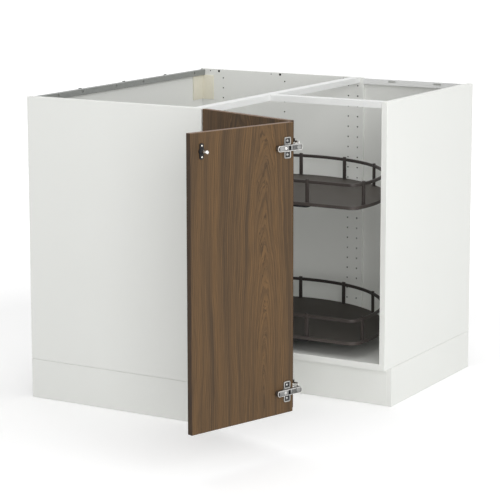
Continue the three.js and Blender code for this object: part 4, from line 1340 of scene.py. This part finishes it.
@dataclass
class HingePair:
    """The swing hinge and the fold hinge at one height."""

    level: Level
    z: float
    leaf_face: float = 583.0  # plan x of the inner leaf's inner face, closed
    cup_radius: float = 17.2
    cup_depth: float = 12.2
    swing_cup_y: float = 25.5
    fold_cup_y: float = 320.5
    fold_pin: Pair = (590.0, 362.0)
    outer_edge: float = 608.0
    panel_face: float = 18.0
    arm_end: float = 565.0

    def cup(self, maker: Maker, kind: str, y: float, extra: Shell) -> None:
        """A pressed cup let into the inner leaf: a turned bowl, its flange with two screws, and links.

        Args:
            maker: puts the pieces in.
            kind: swing or fold.
            y: middle of the cup along the closed leaf.
            extra: shell on the leaf that already holds the links.
        """
        face, r, d = self.leaf_face, self.cup_radius, self.cup_depth
        name = f"{self.level.value}_{kind}_cup"
        bowl = [
            (r - 0.2, -0.9), (r, 0.0), (r, d - 3.0), (r - 0.9, d - 0.9), (r - 3.0, d), (2.0, d),
            (2.0, d - 1.0), (r - 3.4, d - 1.0), (r - 1.7, d - 1.8), (r - 1.0, d - 3.6), (r - 1.0, 0.2),
            (r - 1.5, -0.9),
        ]
        extra.loops(turned(bowl, 48, (face, y, self.z), (1, 0, 0)), endless=True)
        place = Placement((face, y, self.z), (0, 1, 0), (0, 0, 1), (-1, 0, 0), True)
        flange, screws = Shell(place), Shell(place)
        for sign in (-1, 1):
            low, high = sorted((sign * 14.6, sign * 26.0))
            flange.bar((-13.0, 13.0), (low, high), (0.05, 1.2), 4.5, 0.35, 7)
            screw_head(screws, (0.0, sign * 20.4, 1.0), (0, 0, 1), 4.0, 1.0)
        maker.add(name + "_bowl", extra, Body.INNER_DOOR, NICKEL, name)
        maker.add(name + "_flange", flange, Body.INNER_DOOR, NICKEL)
        maker.add(name + "_screws", screws, Body.INNER_DOOR, SCREW)

    def swing(self, maker: Maker) -> None:
        """The hinge between the left end panel and the inner leaf."""
        z, (px, py) = self.z, SWING_PIN[:2]
        place = Placement((self.arm_end, self.panel_face, z), (1, 0, 0), (0, 0, 1), (0, 1, 0))
        name = f"{self.level.value}_swing_arm"
        arm = ArmAndPlate(place, Body.CABINET, name)
        arm.wings(maker)
        arm.arm(maker, name)
        neck = Shell()
        route = [(560.0, 22.6, z), (574.0, 22.6, z), (580.2, 21.4, z), (583.6, 17.0, z), (587.4, 11.8, z)]
        strap = bar_outline((-0.9, 0.9), (-5.9, 5.9), 0.6, 2)(0.0)
        neck.loops(tube(smooth_path(route, 28), strap))
        eye = [(2.3, -5.9), (3.9, -5.9), (3.9, 5.9), (2.3, 5.9)]
        neck.loops(turned(eye, 32, (px, py, z)), endless=True)
        maker.add(f"{name}_neck", neck, Body.CABINET, NICKEL)
        links = Shell(ON_LEAF).loops(turned(dome(2.0, 17.2, 0.5), 20, (px, py, z - 8.6)))
        ear = (px - 4, px + 3.7), (py - 4, py + 5)
        for a, b in ((6.6, 8.5), (-8.5, -6.6)):
            links.bar(*ear, (z + a, z + b), [3.4, 3.4, 1, 1], 0.3, 6)
        self.cup(maker, "swing", self.swing_cup_y, links)

    def fold(self, maker: Maker) -> None:
        """The hinge between the two leaves: arm and nose on the outer one, cup and links on the inner."""
        z, (px, py) = self.z, self.fold_pin
        place = Placement((self.outer_edge, OUTER_FACE, z), (-1, 0, 0), (0, 0, 1), (0, 1, 0), True)
        name = f"{self.level.value}_fold_arm"
        arm = ArmAndPlate(place, Body.OUTER_DOOR, name)
        arm.wings(maker)
        arm.arm(maker, name, tip=22.0)
        cheeks = Shell(ON_LEAF)
        side = (px - 3.9, px + 3.9), (py - 3.9, OUTER_FACE + 3.4)
        for a, b in ((5.7, 7.6), (-7.6, -5.7)):
            cheeks.bar(*side, (z + a, z + b), [3.4, 3.4, 0.6, 0.6], 0.3, 6)
        cheeks.loops(turned(dome(2.0, 16.4, 0.5), 20, (px, py, z - 8.2)))
        maker.add(f"{name}_cheeks", cheeks, Body.OUTER_DOOR, NICKEL)

        links = Shell(ON_LEAF)
        links.bar((px - 2, px + 2), (self.fold_cup_y - 2, py - 1.5), (z - 4.9, z + 4.9), 1.2, 0.6)
        eye = [(2.4, -4.9), (3.9, -4.9), (3.9, 4.9), (2.4, 4.9)]
        links.loops(turned(eye, 32, (px, py, z)), endless=True)
        self.cup(maker, "fold", self.fold_cup_y, links)
        bowed = [(581.6, 330.0), (578.6, 342.0), (577.4, 352.0), (580.0, 361.0)]
        path = smooth_path([(x, y, z + 8.5) for x, y in bowed], 24)
        section = bar_outline((-0.9, 0.9), (-3.2, 3.2), 0.7, 3)(0.0)
        strap = Shell(ON_LEAF).loops(tube(path, section))
        maker.add(f"{self.level.value}_fold_strap", strap, Body.INNER_DOOR, NICKEL)
        at = (580.8, 341.5, z + 12.0)
        knob = Shell(ON_LEAF).loops(turned(dome(3.4, 5.2, 0.8), 48, at, ripple=grooves(0.25, 12)))
        maker.add(f"{self.level.value}_fold_knob", knob, Body.INNER_DOOR, BLACK)

    def build(self, maker: Maker) -> None:
        """Adds both hinges."""
        self.swing(maker)
        self.fold(maker)


# ---- Doors --------------------------------------------------------------------------------------


@dataclass
class Catch:
    """The touch catch on the outer leaf."""

    x: float = 916.5
    z: float = 828.3
    size: Pair = (12.0, 39.0)
    plate: float = 4.0
    bore: float = 5.2  # of the base, behind the collar's wall
    plunger: float = 4.5
    reach: float = 25.0

    def build(self, maker: Maker) -> None:
        """Adds the bored base with its collar, its two screws and the plunger that runs through it."""
        place = Placement((self.x, OUTER_FACE, self.z), (-1, 0, 0), (0, 0, 1), (0, 1, 0), True)
        w, h = (s / 2 for s in self.size)
        half = [(-w, -h), (w, -h), (w, -7.5), (w + 1.4, -5.0), (w + 1.4, 5.0), (w, 7.5)]
        shape = half + [(-x, -y) for x, y in half]
        rows = slab(rounded(shape, [3.5, 3.5, 2, 2, 2, 2] * 2, 5), (0.0, self.plate), 0.9)
        angle = np.arctan2(rows[0, :, 1], rows[0, :, 0])
        bore = self.bore * np.stack([np.cos(angle), np.sin(angle)], 1)
        hole = stacked(lambda inset: bore, [(0.0, self.plate), (0.0, 0.0)])
        base = Shell(place).loops(np.concatenate([rows, hole]), endless=True)
        collar = [
            (4.9, 0.2), (8.5, 0.2), (8.4, 4.4), (7.7, 5.6), (6.2, 9.0), (5.7, 9.8), (5.2, 10.0), (4.9, 9.7),
        ]
        base.loops(turned(collar, 40), endless=True)
        maker.add("catch_base_moulding", base, Body.OUTER_DOOR, BLACK, "catch_base")
        screws = Shell(place)
        for sign in (-1, 1):
            screw_head(screws, (0.0, sign * 14.2, self.plate - 0.3), (0, 0, 1), 2.2, 0.6, 0.5)
        maker.add("catch_screws", screws, Body.OUTER_DOOR, SCREW)
        r, tip = self.plunger, self.reach
        rod = [
            (r - 0.4, 0.4), (r, 0.8), (r, tip - 1.2), (r - 0.3, tip - 0.5), (r - 0.9, tip - 0.1),
            (r - 2.0, tip),
        ]
        plunger = Shell(place).loops(turned(rod, 40))
        maker.add("catch_plunger_rod", plunger, Body.PLUNGER, NICKEL, "catch_plunger")


@dataclass
class Doors:
    """Both leaves with their hinges and the catch."""

    hinge_heights: dict[Level, float] = field(
        default_factory=lambda: {Level.LOWER: 172.8, Level.UPPER: 810.8}
    )

    def build(self, maker: Maker) -> None:
        """Dresses the leaves and adds the fittings."""
        maker.dress(OUTER_WALNUT, "outer_leaf")
        maker.dress(SHADED_INNER_WALNUT, "inner_leaf")
        for level, z in self.hinge_heights.items():
            HingePair(level, z).build(maker)
        Catch().build(maker)


# ---- Studio -------------------------------------------------------------------------------------


@dataclass
class Studio:
    """Floor, light and camera."""

    lens: float = 140.52
    shift: Pair = (-0.024, -0.1)
    yaw: float = 119.926
    pitch: float = 9.453
    eye: Point = (2.8431, -4.6841, 1.4938)
    ambient: float = 0.52
    floor_rings: tuple[float, ...] = (3.0, 9.0, 30.0)
    floor_sides: int = 64
    floor_drop: float = 0.0004  # under the feet
    floor_colour: float = 0.80
    floor_lift: Pair = (0.34, 0.82)  # near the cabinet and far from it
    lift_span: Pair = (1.4, 3.2)  # metres from the middle where the lift changes
    # place, aim, width and power of each soft box
    boxes: tuple[tuple[str, Colour, Colour, float, float], ...] = (
        ("right_box", (4.4, -1.2, 2.6), (0.2, 0.0, 0.4), 3.0, 64.0),
        ("front_box", (-1.6, -4.8, 2.8), (0.0, -0.1, 0.4), 3.2, 8.0),
        ("tall_box", (3.1, -4.4, 1.35), (0.1, 0.1, 0.4), 2.6, 110.0),
        ("top_box", (-0.2, 0.5, 4.4), (0.0, 0.1, 0.8), 3.0, 44.0),
    )

    def seen(self, g: Graph) -> NodeSocket:
        """One for camera, glossy and transmission rays."""
        path = g.add("LightPath").outputs
        glossy = g.maths("MAXIMUM", path["Is Camera Ray"], path["Is Glossy Ray"])
        return g.maths("MAXIMUM", glossy, path["Is Transmission Ray"])

    def floor(self) -> None:
        """A wide pale floor that keeps the cabinet's shadow and meets a white surround."""
        n = self.floor_sides
        r = np.array(self.floor_rings)[:, None]
        a = np.linspace(0, 2 * np.pi, n, endpoint=False)[None, :]
        rows = np.stack([r * np.cos(a), r * np.sin(a), 0 * r * a - self.floor_drop], -1)
        mesh = bpy.data.meshes.new("floor")
        faces = [
            (i * n + j, (i + 1) * n + j, (i + 1) * n + (j + 1) % n, i * n + (j + 1) % n)
            for i in range(len(rows) - 1)
            for j in range(n)
        ]
        faces.append(tuple(range(n)))
        mesh.from_pydata(rows.reshape(-1, 3).tolist(), [], faces)
        floor = bpy.data.objects.new("floor", mesh)
        bpy.context.scene.collection.objects.link(floor)
        material = bpy.data.materials.new("pale_floor")
        material.use_nodes = True
        g = Graph(material.node_tree)
        shader = principled_node(material)
        place = g.add("TexCoord").outputs["Object"]
        pale = rgba((self.floor_colour,) * 3)
        mottle = Mottle.place(
            g, Vector=place, Cloud_Scale=1.5, Tooth_Scale=60.0, Light=pale, Dark=pale, Roughness=0.8,
            Spread=0.05,
        )
        g.tree.links.new(mottle.outputs["Color"], shader.inputs["Base Color"])
        g.tree.links.new(mottle.outputs["Gloss"], shader.inputs["Roughness"])
        shader.inputs["Specular IOR Level"].default_value = 0.0
        shader.inputs["Emission Color"].default_value = (1, 1, 1, 1)
        distance = g.add("VectorMath", {0: place}, operation="LENGTH").outputs["Value"]
        lift = g.maths("MULTIPLY", self.seen(g), g.span(distance, *self.lift_span, self.floor_lift))
        g.tree.links.new(lift, shader.inputs["Emission Strength"])
        mesh.materials.append(material)

    def surround(self) -> None:
        """A white surround for camera and gloss, and an even light for the rest."""
        world = bpy.data.worlds.new("surround")
        world.use_nodes = True
        g = Graph(world.node_tree)
        background = world.node_tree.nodes["Background"]
        background.inputs["Color"].default_value = (1, 1, 1, 1)
        strength = g.span(self.seen(g), 0, 1, (self.ambient, 1.0))
        g.tree.links.new(strength, background.inputs["Strength"])
        bpy.context.scene.world = world

    def lamps(self) -> None:
        """Soft boxes turned towards the cabinet."""
        for name, place, aim, width, power in self.boxes:
            data = bpy.data.lights.new(name, "AREA")
            data.shape = "SQUARE"
            data.size = width
            data.energy = power
            lamp = bpy.data.objects.new(name, data)
            lamp.location = place
            lamp.rotation_euler = (Vector(aim) - Vector(place)).to_track_quat("-Z", "Y").to_euler()
            bpy.context.scene.collection.objects.link(lamp)

    def camera(self) -> None:
        """The camera at the photograph's angle."""
        data = bpy.data.cameras.new("camera")
        data.lens = self.lens
        data.sensor_width = 36
        data.shift_x, data.shift_y = self.shift
        data.clip_end = 100
        camera = bpy.data.objects.new("camera", data)
        yaw, pitch = math.radians(self.yaw), math.radians(self.pitch)
        level = math.cos(pitch)
        ahead = Vector((math.cos(yaw) * level, math.sin(yaw) * level, -math.sin(pitch)))
        turn = ahead.to_track_quat("-Z", "Y").to_matrix().to_4x4()
        camera.matrix_world = Matrix.Translation(Vector(self.eye)) @ turn
        bpy.context.scene.collection.objects.link(camera)
        bpy.context.scene.camera = camera

    def build(self) -> None:
        """Sets the whole studio up."""
        bpy.context.scene.view_settings.view_transform = "Standard"
        self.floor()
        self.surround()
        self.lamps()
        self.camera()


# ---- Main ---------------------------------------------------------------------------------------

LEG_PLACES = {
    "left_rear": (60.0, 60.0),
    "left_front": (474.0, 60.0),
    "back_corner": (60.0, 892.5),
    "inner_corner": (474.0, 478.5),
    "rear_middle": (474.0, 892.5),
    "right_front": (892.5, 478.5),
    "right_rear": (892.5, 892.5),
}
TRAY_BASES = {Level.LOWER: 171.2, Level.UPPER: 562.8}


def main() -> None:
    """Builds the cabinet's sub-assemblies in order, then the studio."""
    logging.basicConfig(level=logging.INFO, format="%(name)s: %(message)s")
    maker = Maker()
    Carcass().build(maker)
    for where, (x, y) in LEG_PLACES.items():
        Leg(where, x, y).build(maker)
    Pole().build(maker)
    for level, base in TRAY_BASES.items():
        Carousel(level, base).build(maker)
    Doors().build(maker)
    Studio().build()
    log.info("%d pieces made", maker.made)


if __name__ == "__main__":
    main()
